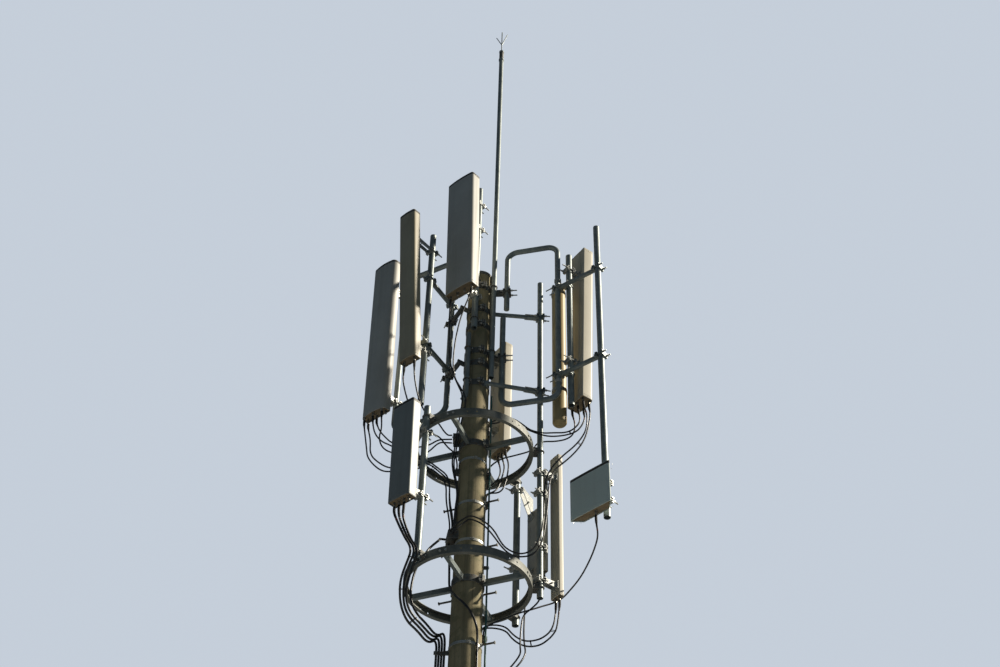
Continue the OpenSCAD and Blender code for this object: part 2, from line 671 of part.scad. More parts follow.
// bars from the right frame to the outer pipe, with a saddle that carries the large panel's pipe
module outrigger_bars() {
    a = outrigger_angle;
    n = span(right_outer, outer_pipe);
    color("#7b837f") for (z = [below(310), below(1710)]) {
        bar(right_outer, a, z, frame_d / 2 + jaw_t - 1, n - pipe_d / 2 - jaw_t + 1, bar_d);
        pipe_clamp(right_outer, z, a, frame_d, back = 110, front = 20);
        pipe_clamp(outer_pipe, z, a + 180, pipe_d, back = 60, front = 20);
        difference() {
            translate([right_pipe[0], right_pipe[1], z]) rotate([0, 0, a + 90])
                translate([-pipe_d / 2 - pipe_seat - bar_d / 2, -45, -bar_d / 2 - 6])
                    cube([pipe_seat + bar_d / 2 + 14, 90, bar_d + 12]);
            pipe_space(right_pipe, z, pipe_d);
        }
        translate([right_pipe[0], right_pipe[1], z]) rotate([0, 0, a + 90])
            ubolt(pipe_d, pipe_d / 2 + pipe_seat + bar_d + 15);
    }
}

// bars from the left frame forward to the narrow panel's pipe
module narrow_pipe_bars() {
    a = azimuth(left_inner, narrow_pipe);
    n = span(left_inner, narrow_pipe);
    color("#6c726e") for (z = [below(350), below(1400)]) {
        bar(left_inner, a, z, frame_d / 2 + jaw_t - 1, n - pipe_d / 2 - jaw_t + 1, bar_d);
        pipe_clamp(left_inner, z, a, frame_d, back = 60, front = 20);
        pipe_clamp(narrow_pipe, z, a + 180, pipe_d, back = 110, front = 20);
    }
}

// tie bars from the right stand pipe to two head bands
module tie_bars() {
    color("#6c726e") for (k = [[band_z[1], 8], [band_z[5], -20]]) {
        z = k[0];
        root = at(band_r(z) + 25, k[1]);
        a = azimuth(stand_right, root);
        band_arm(z, k[1], band_r(z) + 40, tie_d, tie_d);
        bar(stand_right, a, z, stand_pipe_d / 2 + jaw_t - 1, span(stand_right, root), tie_d);
        pipe_clamp(stand_right, z, a, stand_pipe_d, back = 80, front = 150);
    }
}

// panels: p is the pipe, f the azimuth faced, u the gap from the pipe's axis to the foot of the
// panel's back, z the height of that foot, tilt the lean of the top outwards, s a shift sideways
module panel_place(p, f, u, z, tilt = 0, s = 0) {
    translate([p[0], p[1], z]) rotate([0, 0, f]) translate([u, s, 0]) rotate([0, tilt, 0]) children();
}

// housing with rounded front edges, a rim round a sunk foot, a cap on top and plugs in rows, which
// stand aside of its middle by aside; its sides slope in by slope towards the back
module panel_body(w, t, h, edge, plugs, rows = 1, aside = 0, slope = 0) {
    rim = 7;
    sunk = 14;
    cap = 12;
    difference() {
        linear_extrude(h - cap) panel_outline(w, t, edge, slope);
        translate([rim, 0, -1]) linear_extrude(sunk + 1)
            panel_outline(w - 2 * rim, t - 2 * rim, edge - rim, slope);
    }
    translate([3, 0, h - cap]) linear_extrude(cap) panel_outline(w - 6, t - 6, edge - 3, slope);
    per_row = plugs / rows;
    for (i = [0 : plugs - 1]) {
        y = aside + (i % per_row - (per_row - 1) / 2) * (w - 90) / max(per_row - 1, 1);
        x = t * (floor(i / per_row) + 0.5) / rows;
        translate([x, y, -38]) cylinder(h = 39 + sunk, d = 26, $fn = 24);
    }
}

// outline from the back (x = 0) to the front (x = t)
module panel_outline(w, t, edge, slope) {
    polygon([[0, slope - w / 2], [t - edge, -w / 2], [t - edge, w / 2], [0, w / 2 - slope]]);
    translate([t - edge - 1, -w / 2 + edge]) square([edge + 1, w - 2 * edge]);
    for (s = [-1, 1]) translate([t - edge, s * (w / 2 - edge)]) circle(r = edge, $fn = 32);
}

module front_panel() {
    color("#b9b7ab") panel_place(head_pipe, face_front, 175, below(640), 2)
        panel_body(front_panel_w, front_panel_t, front_panel_h, 34, 4);
}

module narrow_panel() {
    color("#b3b1a6") panel_place(narrow_pipe, face_front, 165, below(1810), 5.2)
        panel_body(narrow_panel_w, narrow_panel_t, narrow_panel_h, 30, 2);
}

module wide_panel() {
    color("#b9b7ab") panel_place(left_outer, face_front, 210, below(1960), 1.4, -35)
        panel_body(wide_panel_w, wide_panel_t, wide_panel_h, 60, 6, 2);
}

module short_panel() {
    color("#c3c1b6") panel_place(stand_left, face_front, 207, below(3960), 1.7)
        panel_body(short_panel_w, short_panel_t, short_panel_h, 20, 4);
}

// its sides slope in to a narrower back, and it is turned a little off the other front panels
square_az = face_front - 3;

module square_panel() {
    color("#a9ada9") panel_place(outer_pipe, square_az, 62, below(3911), 0, -82)
        panel_body(square_panel_w, square_panel_t, square_panel_w, 16, 1, 1, 35, square_panel_t * 0.875);
}

module right_panel() {
    color("#c9c4b4") panel_place(right_pipe, face_rear, 76, below(2045), 1.9, 37)
        panel_body(right_panel_w, right_panel_t, right_panel_h, 40, 6, 2);
}

module back_panel() {
    color("#c9c4b4") panel_place(back_pipe, face_rear, 180, below(2400), 0, 10)
        panel_body(back_panel_w, back_panel_t, back_panel_h, 36, 4);
}

module slim_panel() {
    color("#cbbfa6") panel_place(stand_right, face_rear, 185, below(4480))
        panel_body(slim_panel_w, slim_panel_t, slim_panel_h, 18, 2);
}

module thin_panel() {
    color("#c9c4b4") panel_place(stand_right, face_rear, 80, below(4175), 0, 73)
        panel_body(thin_panel_w, thin_panel_t, thin_panel_h, 14, 1);
}

module small_panel() {
    color("#8e928d") panel_place(stand_rear, face_rear, 180, below(3930), 0, -60)
        panel_body(small_panel_w, small_panel_t, small_panel_h, 20, 2);
}

// round panel beside the right frame's outer leg: its azimuth from the leg, its lean, and the
// distance of its foot
round_az = 107;
round_tilt = 2;
round_z = below(2310);
round_off = frame_d / 2 + round_panel_d / 2 + 47;

module round_panel_place() {
    translate([right_outer[0], right_outer[1], round_z]) rotate([0, 0, round_az])
        translate([round_off, 0, 0]) rotate([0, round_tilt, 0]) children();
}

module round_panel() {
    dome = 140;
    lift = dome - sqrt(dome * dome - round_panel_d * round_panel_d / 4);
    color("#c8b48c") round_panel_place() {
        translate([0, 0, lift]) cylinder(h = round_panel_h - lift, d = round_panel_d, $fn = 48);
        intersection() {
            translate([0, 0, dome]) sphere(r = dome, $fn = 64);
            cylinder(h = lift, d = round_panel_d, $fn = 48);
        }
    }
}

// straps that tie the round panel to the frame's outer leg
module round_panel_straps() {
    h = 40;
    color("#6a706e") for (z = [below(190), below(1810)]) difference() {
        translate([right_outer[0], right_outer[1], z - h / 2]) rotate([0, 0, round_az]) {
            translate([round_off + (z - round_z) * tan(round_tilt), 0, 0])
                cylinder(h = h, d = round_panel_d + 16, $fn = 48);
            cylinder(h = h, d = frame_d + 16, $fn = 32);
            translate([0, -25, 0]) cube([round_off, 50, h]);
        }
        round_panel_place() translate([0, 0, 20]) cylinder(h = round_panel_h, d = round_panel_d, $fn = 48);
        pipe_space(right_outer, z, frame_d);
    }
}

// bracket from a clamp at height z to a panel's back, which is u away from the pipe's axis at height
// z_foot and leans by tilt; y is the sideways middle of its arms and plate, back the reach of its rods
// behind the pipe, and drop how far its plate hangs below the clamp
module bracket(p, f, z, d, u, z_foot, tilt, y = 0, back = 90, drop = 0) {
    function back_u(zz) = u + (zz - z_foot) * tan(tilt);
    low = z - drop;
    arms = 60;
    rise = 34;
    half = rise + 12;
    pipe_clamp(p, z, f, d, front = min(40, u - d / 2 - 8), back = back);
    translate([p[0], p[1], 0]) rotate([0, 0, f]) {
        for (s = [-1, 1]) translate([0, y + s * arms / 2, 0]) rotate([90, 0, 0])
            linear_extrude(8, center = true) polygon([[d / 2 + jaw_t - 1, z - rise * 0.8],
                [back_u(low - rise) - 1, low - rise], [back_u(low + rise) - 1, low + rise + drop * 0.6],
                [d / 2 + jaw_t - 1, z + rise * 0.8]]);
        translate([0, y, 0]) rotate([90, 0, 0]) linear_extrude(arms + 50, center = true)
            polygon([[back_u(low - half) - 8, low - half], [back_u(low - half), low - half],
                [back_u(low + half), low + half], [back_u(low + half) - 8, low + half]]);
    }
}

module front_brackets() {
    color("#6a706e") {
        for (k = [[-1090, 90], [-640, 90], [530, 20]])
            bracket(head_pipe, face_front, below(k[0]), pipe_d, 175, below(640), 2, 0, k[1]);
        for (k = [-120, 1540]) bracket(narrow_pipe, face_front, below(k), pipe_d, 165, below(1810), 5.2);
        for (k = [-100, 1630]) bracket(left_outer, face_front, below(k), frame_d, 210, below(1960), 1.4);
        for (k = [2900, 3755]) bracket(stand_left, face_front, below(k), pipe_d, 207, below(3960), 1.7);
        for (k = [[3500, 20], [3720, 90]])
            bracket(outer_pipe, square_az, below(k[0]), pipe_d, 62, below(3911), 0, 0, k[1]);
    }
}

module rear_brackets() {
    color("#6a706e") {
        for (k = [20, 1510]) bracket(right_pipe, face_rear, below(k), pipe_d, 76, below(2045), 1.9);
        for (k = [1080, 2120]) bracket(back_pipe, face_rear, below(k), pipe_d, 180, below(2400), 0, 10, 15);
        for (k = [2980, 4362])
            bracket(stand_right, face_rear, below(k), stand_pipe_d, 185, below(4480), 0, -12, 40);
        for (k = [3250, 3950])
            bracket(stand_right, face_rear, below(k), stand_pipe_d, 80, below(4175), 0, 30, 60);
        for (k = [[2800, 295], [3850, 0]])
            bracket(stand_rear, face_rear, below(k[0]), pipe_d, 180, below(3930), 0, -20, 90, k[1]);
    }
}

// bare conductor, parallel to the pole's side from the lowest head band down to the ground
wire_top = [pole_r(below(1900)) + wire_off, 0, below(1900)];
wire_foot = [pole_r(0) + wire_off, 0, 0];

module wire_line() {
    v = wire_top - wire_foot;
    rotate([0, 0, wire_az]) intersection() {
        along(wire_foot - v * 0.01, v) cylinder(h = norm(v) * 1.02, d = wire_d, $fn = 16);
        translate([0, -50, 0]) cube([400, 100, wire_top[2]]);
    }
}

module earth_wire() {
    color("#4f8f86") wire_line();
}

module earth_stand_offs() {
    color("#3e4644") for (z = [600 : 1210 : below(2000)]) difference() {
        rotate([0, 0, wire_az]) translate([pole_r(z) - 20, -14, z - 14]) cube([20 + wire_off + 14, 28, 28]);
        pole_body();
        wire_line();
    }
}

// cables

function unit(v) = v / norm(v);

// curve along a route: straight at both ends, a parabola round every point between
function cable_curve(p) = concat([p[0]], [for (i = [1 : len(p) - 2], k = [i == 1 ? 0 : 1 : cable_steps])
    let (t = k / cable_steps, a = (p[i - 1] + p[i]) / 2, b = (p[i] + p[i + 1]) / 2)
    a * (1 - t) * (1 - t) + 2 * t * (1 - t) * p[i] + b * t * t], [p[len(p) - 1]]);

function cable_dir(c, i) = unit(c[min(i + 1, len(c) - 1)] - c[max(i - 1, 0)]);

// one direction across the cable per point, carried along without twist
function cable_sides_dir(c, i, n) = i == len(c) ? [] :
    let (t = cable_dir(c, i), m = unit(n - (n * t) * t)) concat([m], cable_sides_dir(c, i + 1, m));

// one cable along its route
module cable(route, d) {
    c = cable_curve(route);
    n = cable_sides_dir(c, 0, [0.31, 0.95, 0.02]);
    s = cable_sides;
    last = len(c) - 1;
    polyhedron(
        points = [for (i = [0 : last]) let (b = cross(cable_dir(c, i), n[i])) for (k = [0 : s - 1])
            c[i] + d / 2 * (cos(360 * k / s) * n[i] + sin(360 * k / s) * b)],
        faces = concat([[for (k = [0 : s - 1]) k]], [[for (k = [s - 1 : -1 : 0]) last * s + k]],
            [for (i = [0 : last - 1], k = [0 : s - 1])
                [i * s + k, (i + 1) * s + k, (i + 1) * s + (k + 1) % s]],
            [for (i = [0 : last - 1], k = [0 : s - 1])
                [i * s + k, (i + 1) * s + (k + 1) % s, i * s + (k + 1) % s]]));
}

module cables(routes, d) {
    color("#1d1f20") for (r = routes) cable(r, d);
}

module feeder_cables() { cables(feeder_routes, feeder_d); }
module wide_panel_cables() { cables(wide_panel_routes, jumper_d); }
module front_panel_cables() { cables(front_panel_routes, jumper_d); }
module right_panel_cables() { cables(right_panel_routes, jumper_d); }
module back_panel_cables() { cables(back_panel_routes, jumper_d); }
module low_panel_cables() { cables(low_panel_routes, jumper_d); }

// bars beside the row of feeders, one at each height, from the pole outwards
module feeder_clamps() {
    t = 12;
    color("#565b5a") for (z = [850 : feeder_step : 9300]) difference() {
        rotate([0, 0, feeder_az]) translate([pole_r(z) - 20, feeder_d / 2 + 3, z - 18])
            cube([20 + feeder_off + 25, t, 36]);
        pole_body();
    }
}

// blocks on the pole that the cables end in
module cable_cleats() {
    color("#3c403f") for (k = cleats) difference() {
        rotate([0, 0, k[0]]) translate([0, -k[3] / 2, k[1] - k[2]]) cube([pole_r(k[1]) + k[4], k[3], k[2]]);
        pole_body();
    }
}

// every node
pole();
pole_cap();
pole_straps();
climbing_pegs();
head_bands();
lightning_mast();
lightning_tip();
lightning_clamps();
ring_lower();
ring_upper();
ring_arms();
ring_hubs();
ring_clamps();
stand_pipe_left();
stand_pipe_right();
stand_pipe_rear();
outer_pipe_right();
right_panel_pipe();
narrow_panel_pipe();
head_panel_pipe();
back_panel_pipe();
bent_stub_pipe();
pipe_stand_offs();
frame_right();
frame_left();
frame_right_mounts();
frame_left_mounts();
outrigger_bars();
narrow_pipe_bars();
tie_bars();
front_panel();
narrow_panel();
wide_panel();
short_panel();
square_panel();
right_panel();
back_panel();
round_panel();
slim_panel();
thin_panel();
small_panel();
front_brackets();
rear_brackets();
round_panel_straps();
earth_wire();
earth_stand_offs();
feeder_cables();
feeder_clamps();
cable_cleats();
wide_panel_cables();
front_panel_cables();
right_panel_cables();
back_panel_cables();
low_panel_cables();
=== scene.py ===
import bmesh
import bpy
import numpy as np
from mathutils import Matrix


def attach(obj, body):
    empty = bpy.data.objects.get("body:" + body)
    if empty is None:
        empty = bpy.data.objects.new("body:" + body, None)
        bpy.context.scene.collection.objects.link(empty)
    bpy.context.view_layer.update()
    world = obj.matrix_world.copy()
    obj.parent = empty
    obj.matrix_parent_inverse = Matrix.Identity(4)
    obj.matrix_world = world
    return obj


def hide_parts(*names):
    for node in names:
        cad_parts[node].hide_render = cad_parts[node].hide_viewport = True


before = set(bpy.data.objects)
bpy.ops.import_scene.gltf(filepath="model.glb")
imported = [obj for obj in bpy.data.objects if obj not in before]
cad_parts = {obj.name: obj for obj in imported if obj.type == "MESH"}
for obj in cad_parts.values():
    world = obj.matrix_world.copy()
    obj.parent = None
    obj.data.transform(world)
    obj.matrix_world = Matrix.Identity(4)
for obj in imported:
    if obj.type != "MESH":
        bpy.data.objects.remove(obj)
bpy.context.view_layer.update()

# Camera. It stands at a person's eye height in front of the tower and looks steeply up at its head,
# rolled by a degree and a half. The lens gives the photograph's angle of view.
lens_mm, sensor_mm, eye = 53.013, 36, (4.862, -11.343, 1.6)
yaw, pitch, roll = np.radians([22.027, 44.179, 1.575])
camera = bpy.data.objects.new("camera", bpy.data.cameras.new("camera"))
bpy.context.scene.collection.objects.link(camera)
camera.data.lens, camera.data.sensor_width = lens_mm, sensor_mm
ahead = np.array([-np.sin(yaw) * np.cos(pitch), np.cos(yaw) * np.cos(pitch), np.sin(pitch)])
level = np.cross(ahead, [0, 0, 1]) / np.cos(pitch)
upright = np.cross(level, ahead)
view = np.eye(4)
view[:3, 0] = level * np.cos(roll) + upright * np.sin(roll)
view[:3, 1] = upright * np.cos(roll) - level * np.sin(roll)
view[:3, 2], view[:3, 3] = -ahead, eye
camera.matrix_world = Matrix(view.tolist())
bpy.context.scene.camera = camera

# Cables. Black jacketed coaxial leads run from the plugs under the panels to the cleats on the pole,
# and four of them, with one link, go on down the pole as a row of feeders. Each is held at both ends
# and hangs in soft bends between. The points are those of the construction, in metres.
WIDE_PANEL_ROUTES = [
    [[-1.3, -0.14, 12.498], [-1.3, -0.14, 12.44], [-1.2, -0.2, 12.01], [-1.17, -0.22, 11.87],
     [-1.08, -0.22, 11.73], [-0.98, -0.21, 11.63], [-0.88, -0.2, 11.6], [-0.65, -0.18, 11.59],
     [-0.45, -0.17, 11.57], [-0.34, -0.17, 11.47], [-0.23, -0.15, 11.31], [-0.23, -0.14, 11.09],
     [-0.19, -0.14, 10.88], [-0.195, -0.085, 10.8], [-0.195, -0.085, 10.66]],
    [[-1.28, -0.075, 12.5], [-1.28, -0.075, 12.44], [-1.21, -0.11, 12.21], [-1.17, -0.17, 11.95],
     [-1.06, -0.18, 11.8], [-0.9, -0.18, 11.66], [-0.66, -0.17, 11.64], [-0.45, -0.17, 11.63],
     [-0.32, -0.2, 11.47], [-0.19, -0.15, 11.33], [-0.19, -0.15, 11.07], [-0.16, -0.14, 10.86],
     [-0.16, -0.105, 10.8], [-0.16, -0.105, 10.66]],
    [[-1.175, -0.18, 12.498], [-1.175, -0.18, 12.44], [-1.13, -0.21, 12.25], [-1.08, -0.21, 12.14],
     [-1, -0.21, 12.04], [-0.91, -0.19, 11.99], [-0.67, -0.18, 11.76], [-0.46, -0.15, 11.68],
     [-0.34, -0.16, 11.54], [-0.23, -0.08, 11.45], [-0.22, -0.07, 11.12], [-0.18, -0.06, 10.94],
     [-0.185, -0.035, 10.8], [-0.185, -0.035, 10.66]],
    [[-1.155, -0.12, 12.5], [-1.155, -0.12, 12.44], [-1.09, -0.14, 12.28], [-0.99, -0.15, 12.14],
     [-0.92, -0.16, 12.05], [-0.69, -0.16, 11.91], [-0.47, -0.16, 11.88], [-0.34, -0.19, 11.91],
     [-0.275, -0.12, 11.95], [-0.215, -0.1, 11.95]],
    [[-1.045, -0.225, 12.498], [-1.045, -0.225, 12.44], [-1.01, -0.25, 12.21], [-1.02, -0.28, 12.07],
     [-0.98, -0.29, 11.93], [-0.92, -0.28, 11.85], [-0.86, -0.26, 11.82], [-0.65, -0.21, 11.69],
     [-0.46, -0.18, 11.76], [-0.34, -0.18, 11.88], [-0.285, -0.09, 11.93], [-0.23, -0.065, 11.93]],
]
FRONT_PANEL_ROUTES = [
    [[-0.195, -0.405, 13.818], [-0.195, -0.405, 13.76], [-0.21, -0.36, 13.17], [-0.19, -0.33, 12.91],
     [-0.16, -0.31, 12.74], [-0.11, -0.26, 12.58], [-0.03, -0.28, 12.38], [-0.1, -0.18, 12.2],
     [-0.11, -0.21, 11.94], [-0.14, -0.19, 11.7], [-0.17, -0.19, 11.52], [-0.11, -0.11, 11.19],
     [-0.13, -0.125, 10.95], [-0.13, -0.125, 10.66]],
    [[0.11, -0.51, 13.818], [0.11, -0.51, 13.76], [-0.01, -0.49, 13.44], [-0.08, -0.46, 13.12],
     [-0.12, -0.41, 12.78], [-0.11, -0.36, 12.6], [-0.06, -0.3, 12.5], [0.01, -0.27, 12.33],
     [-0.05, -0.21, 12.17], [-0.08, -0.23, 11.92], [-0.11, -0.21, 11.67], [-0.14, -0.21, 11.49],
     [-0.1, -0.12, 11.19], [-0.11, -0.14, 10.95], [-0.11, -0.14, 10.66]],
    [[-0.58, -0.68, 12.645], [-0.58, -0.68, 12.585], [-0.6, -0.65, 12.43], [-0.53, -0.5, 12.07],
     [-0.42, -0.39, 11.92], [-0.35, -0.31, 11.89], [-0.29, -0.26, 11.88], [-0.22, -0.19, 11.76],
     [-0.16, -0.14, 11.72], [-0.14, -0.1, 11.6], [-0.14, -0.1, 11.5]],
    [[-0.435, -0.73, 12.645], [-0.435, -0.73, 12.585], [-0.45, -0.67, 12.43], [-0.43, -0.54, 12.18],
     [-0.35, -0.42, 12.02], [-0.31, -0.33, 12.07], [-0.265, -0.145, 11.985], [-0.205, -0.125, 11.985]],
]
RIGHT_PANEL_ROUTES = [
    [[1.135, 0.405, 12.411], [1.135, 0.405, 12.355], [1.15, 0.4, 12.25], [1.09, 0.37, 12.09],
     [1, 0.33, 12.02], [0.86, 0.27, 11.98], [0.75, 0.21, 11.97], [0.62, 0.18, 12.04], [0.5, 0.18, 12.14],
     [0.4, 0.17, 12.24], [0.3, 0.16, 12.3], [0.2, 0.15, 12.26], [0.13, 0.11, 12.25], [0.13, 0.11, 12.1]],
    [[1.09, 0.34, 12.414], [1.09, 0.34, 12.355], [1.12, 0.34, 12.19], [1.06, 0.31, 12.07],
     [0.97, 0.28, 12.01], [0.84, 0.22, 12], [0.74, 0.17, 11.98], [0.6, 0.14, 12.04], [0.5, 0.17, 12.18],
     [0.39, 0.18, 12.3], [0.27, 0.18, 12.37], [0.19, 0.19, 12.35], [0.105, 0.135, 12.28],
     [0.105, 0.135, 12.1]],
    [[1.005, 0.39, 12.414], [1.005, 0.39, 12.355], [1.03, 0.42, 12.23], [1.01, 0.42, 12.09],
     [0.93, 0.41, 12.03], [0.8, 0.39, 12.02], [0.69, 0.36, 12.03], [0.6, 0.35, 12.02],
     [0.57, 0.32, 11.9], [0.39, 0.23, 11.81], [0.25, 0.14, 11.73], [0.125, 0.12, 11.62],
     [0.125, 0.12, 11.5]],
    [[1.215, 0.35, 12.411], [1.215, 0.35, 12.355], [1.23, 0.35, 12.27], [1.2, 0.33, 12.02],
     [1.15, 0.31, 11.85], [1.07, 0.28, 11.71], [0.97, 0.24, 11.58], [0.86, 0.19, 11.46],
     [0.81, 0.16, 11.28], [0.8, 0.16, 11.05], [0.78, 0.15, 10.79], [0.75, 0.13, 10.5],
     [0.67, 0.1, 10.35], [0.58, 0.06, 10.31], [0.47, 0.02, 10.32], [0.38, -0.02, 10.4],
     [0.27, -0.07, 10.59], [0.19, -0.13, 10.69], [0.07, -0.18, 10.75], [0.01, -0.16, 10.74],
     [-0.08, -0.225, 10.61], [-0.115, -0.17, 10.61]],
    [[1.17, 0.285, 12.414], [1.17, 0.285, 12.355], [1.21, 0.3, 12.22], [1.2, 0.29, 12.01],
     [1.14, 0.28, 11.88], [1.06, 0.25, 11.76], [0.95, 0.21, 11.64], [0.85, 0.18, 11.51],
     [0.77, 0.15, 11.33], [0.76, 0.14, 11.04], [0.76, 0.13, 10.77], [0.73, 0.1, 10.51],
     [0.65, 0.07, 10.37], [0.55, 0.03, 10.33], [0.46, -0.01, 10.36], [0.38, -0.05, 10.43],
     [0.3, -0.09, 10.62], [0.2, -0.17, 10.71], [0.09, -0.22, 10.76], [0.01, -0.2, 10.75],
     [-0.105, -0.235, 10.64], [-0.135, -0.185, 10.64]],
]
BACK_PANEL_ROUTES = [
    [[0.215, 0.4, 12.061], [0.215, 0.4, 12], [0.27, 0.38, 11.84], [0.27, 0.31, 11.56],
     [0.24, 0.24, 11.34], [0.11, 0.135, 11.3], [0.11, 0.135, 11.15]],
    [[0.16, 0.44, 12.061], [0.16, 0.44, 12], [0.21, 0.41, 11.83], [0.2, 0.33, 11.6], [0.18, 0.27, 11.41],
     [0.08, 0.155, 11.3], [0.08, 0.155, 11.15]],
    [[0.1, 0.48, 12.061], [0.1, 0.48, 12], [0.15, 0.44, 11.83], [0.15, 0.38, 11.65],
     [0.05, 0.165, 11.35], [0.05, 0.165, 11.15]],
]
LOW_PANEL_ROUTES = [
    [[1.38, -0.055, 10.55], [1.38, -0.055, 10.46], [1.36, 0.07, 10.39], [1.28, 0.18, 10.32],
     [1.18, 0.29, 10.25], [1.05, 0.42, 10.19], [0.92, 0.51, 10.14], [0.77, 0.67, 10.16],
     [0.69, 0.62, 10.09], [0.61, 0.52, 10.01], [0.54, 0.44, 9.94], [0.43, 0.33, 9.85],
     [0.37, 0.23, 9.76], [0.14, 0.115, 9.62], [0.14, 0.115, 9.5]],
    [[0.77, 0.47, 9.981], [0.77, 0.47, 9.92], [0.76, 0.45, 9.75], [0.73, 0.43, 9.64], [0.68, 0.4, 9.57],
     [0.61, 0.37, 9.52], [0.5, 0.31, 9.49], [0.4, 0.27, 9.55], [0.32, 0.21, 9.66], [0.105, 0.145, 9.66],
     [0.105, 0.145, 9.5]],
    [[0.82, 0.435, 9.981], [0.82, 0.435, 9.92], [0.8, 0.43, 9.71], [0.78, 0.42, 9.61], [0.71, 0.4, 9.52],
     [0.62, 0.37, 9.45], [0.49, 0.32, 9.44], [0.38, 0.28, 9.52], [0.31, 0.25, 9.64], [0.07, 0.17, 9.66],
     [0.07, 0.17, 9.5]],
    [[0.67, 0.4, 10.286], [0.67, 0.4, 10.225], [0.65, 0.36, 10.03], [0.63, 0.34, 9.94],
     [0.57, 0.29, 9.84], [0.5, 0.25, 9.76], [0.49, 0.22, 9.6], [0.49, 0.2, 9.38], [0.48, 0.26, 9.29],
     [0.125, 0.135, 8.85], [0.125, 0.135, 8.7]],
    [[0.365, 0.87, 10.531], [0.365, 0.87, 10.47], [0.33, 0.76, 10.26], [0.36, 0.66, 10.02],
     [0.41, 0.51, 9.64], [0.51, 0.35, 9.31], [0.09, 0.16, 8.85], [0.09, 0.16, 8.7]],
]
FEEDER_ROUTES = [
    [[-0.44, -0.9, 10.499], [-0.44, -0.9, 10.44], [-0.41, -0.89, 10.35], [-0.31, -0.89, 10.12],
     [-0.27, -0.84, 10.05], [-0.25, -0.84, 9.96], [-0.32, -0.78, 9.88], [-0.39, -0.72, 9.79],
     [-0.43, -0.66, 9.7], [-0.46, -0.55, 9.58], [-0.44, -0.43, 9.47], [-0.38, -0.3, 9.43],
     [-0.33, -0.16, 9.36], [-0.251, -0.117, 9.42], [-0.252, -0.118, 9.15], [-0.29, -0.135, 0]],
    [[-0.38, -0.92, 10.499], [-0.38, -0.92, 10.44], [-0.37, -0.91, 10.34], [-0.29, -0.85, 10.12],
     [-0.24, -0.82, 10.05], [-0.23, -0.81, 9.96], [-0.3, -0.76, 9.88], [-0.36, -0.7, 9.79],
     [-0.4, -0.64, 9.7], [-0.43, -0.54, 9.58], [-0.41, -0.44, 9.5], [-0.35, -0.31, 9.45],
     [-0.29, -0.17, 9.37], [-0.227, -0.106, 9.45], [-0.229, -0.107, 9.15], [-0.266, -0.124, 0]],
    [[-0.315, -0.945, 10.499], [-0.315, -0.945, 10.44], [-0.33, -0.92, 10.33], [-0.27, -0.82, 10.12],
     [-0.22, -0.8, 10.05], [-0.2, -0.79, 9.96], [-0.27, -0.73, 9.88], [-0.33, -0.68, 9.79],
     [-0.38, -0.62, 9.69], [-0.4, -0.54, 9.59], [-0.38, -0.45, 9.52], [-0.32, -0.32, 9.46],
     [-0.25, -0.2, 9.38], [-0.204, -0.095, 9.48], [-0.205, -0.096, 9.15], [-0.243, -0.113, 0]],
    [[-0.195, -0.085, 10.56], [-0.195, -0.085, 10.5], [-0.16, -0.13, 10.33], [-0.16, -0.11, 10.15],
     [-0.14, -0.14, 9.96], [-0.04, -0.2, 9.82], [0.05, -0.2, 9.72], [0.12, -0.17, 9.62],
     [0.18, -0.17, 9.46], [0.158, -0.08, 9.4], [0.157, -0.08, 9.15], [0.194, -0.099, 0]],
    [[-0.225, -0.1, 10.61], [-0.28, -0.135, 10.61], [-0.17, -0.35, 10.43], [-0.27, -0.37, 10.34],
     [-0.28, -0.45, 10.21], [-0.35, -0.44, 10.12], [-0.39, -0.45, 10], [-0.4, -0.48, 9.78],
     [-0.4, -0.44, 9.66], [-0.35, -0.39, 9.55], [-0.29, -0.3, 9.49], [-0.2, -0.24, 9.36],
     [-0.18, -0.084, 9.51], [-0.182, -0.085, 9.15], [-0.219, -0.102, 0]],
]


def unit(v):
    """Vectors divided by their lengths, along the last axis."""
    return v / np.linalg.norm(v, axis=-1, keepdims=True)


def cable_line(route, steps=6):
    """Middle line of a cable: straight at both ends, and round each point between them a parabola from
    the middle of the leg before the point to the middle of the leg after it."""
    p = np.array(route, float)
    before, bend, after = (p[:-2] + p[1:-1]) / 2, p[1:-1], (p[1:-1] + p[2:]) / 2
    t = np.arange(steps)[None, :, None] / steps
    curves = before[:, None] * (1 - t) ** 2 + 2 * t * (1 - t) * bend[:, None] + after[:, None] * t ** 2
    return np.concatenate([p[:1], curves.reshape(-1, 3), after[-1:], p[-1:]])


def along_line(line, distances):
    """Points of a line at distances from its start, between its own points in proportion."""
    reached = np.concatenate([[0], np.cumsum(np.linalg.norm(np.diff(line, axis=0), axis=1))])
    return np.stack([np.interp(distances, reached, line[:, k]) for k in range(3)], 1)


def skin(points, open_tube=False):
    """Surface over a grid of points, rows by columns: quads from each row to the next, closed round the
    columns. A polygon covers the first and the last row, or else the last row joins the first."""
    rows, columns = points.shape[:2]
    i = np.arange(rows if open_tube else rows - 1)[:, None]
    j = np.arange(columns)[None]
    here, above, beside = i * columns, (i + 1) % rows * columns, (j + 1) % columns
    quads = np.stack([here + j, here + beside, above + beside, above + j], -1).reshape(-1, 4)
    ends = np.array([np.arange(columns)[::-1], (rows - 1) * columns + np.arange(columns)])
    return points.reshape(-1, 3), [quads] if open_tube else [quads, ends]


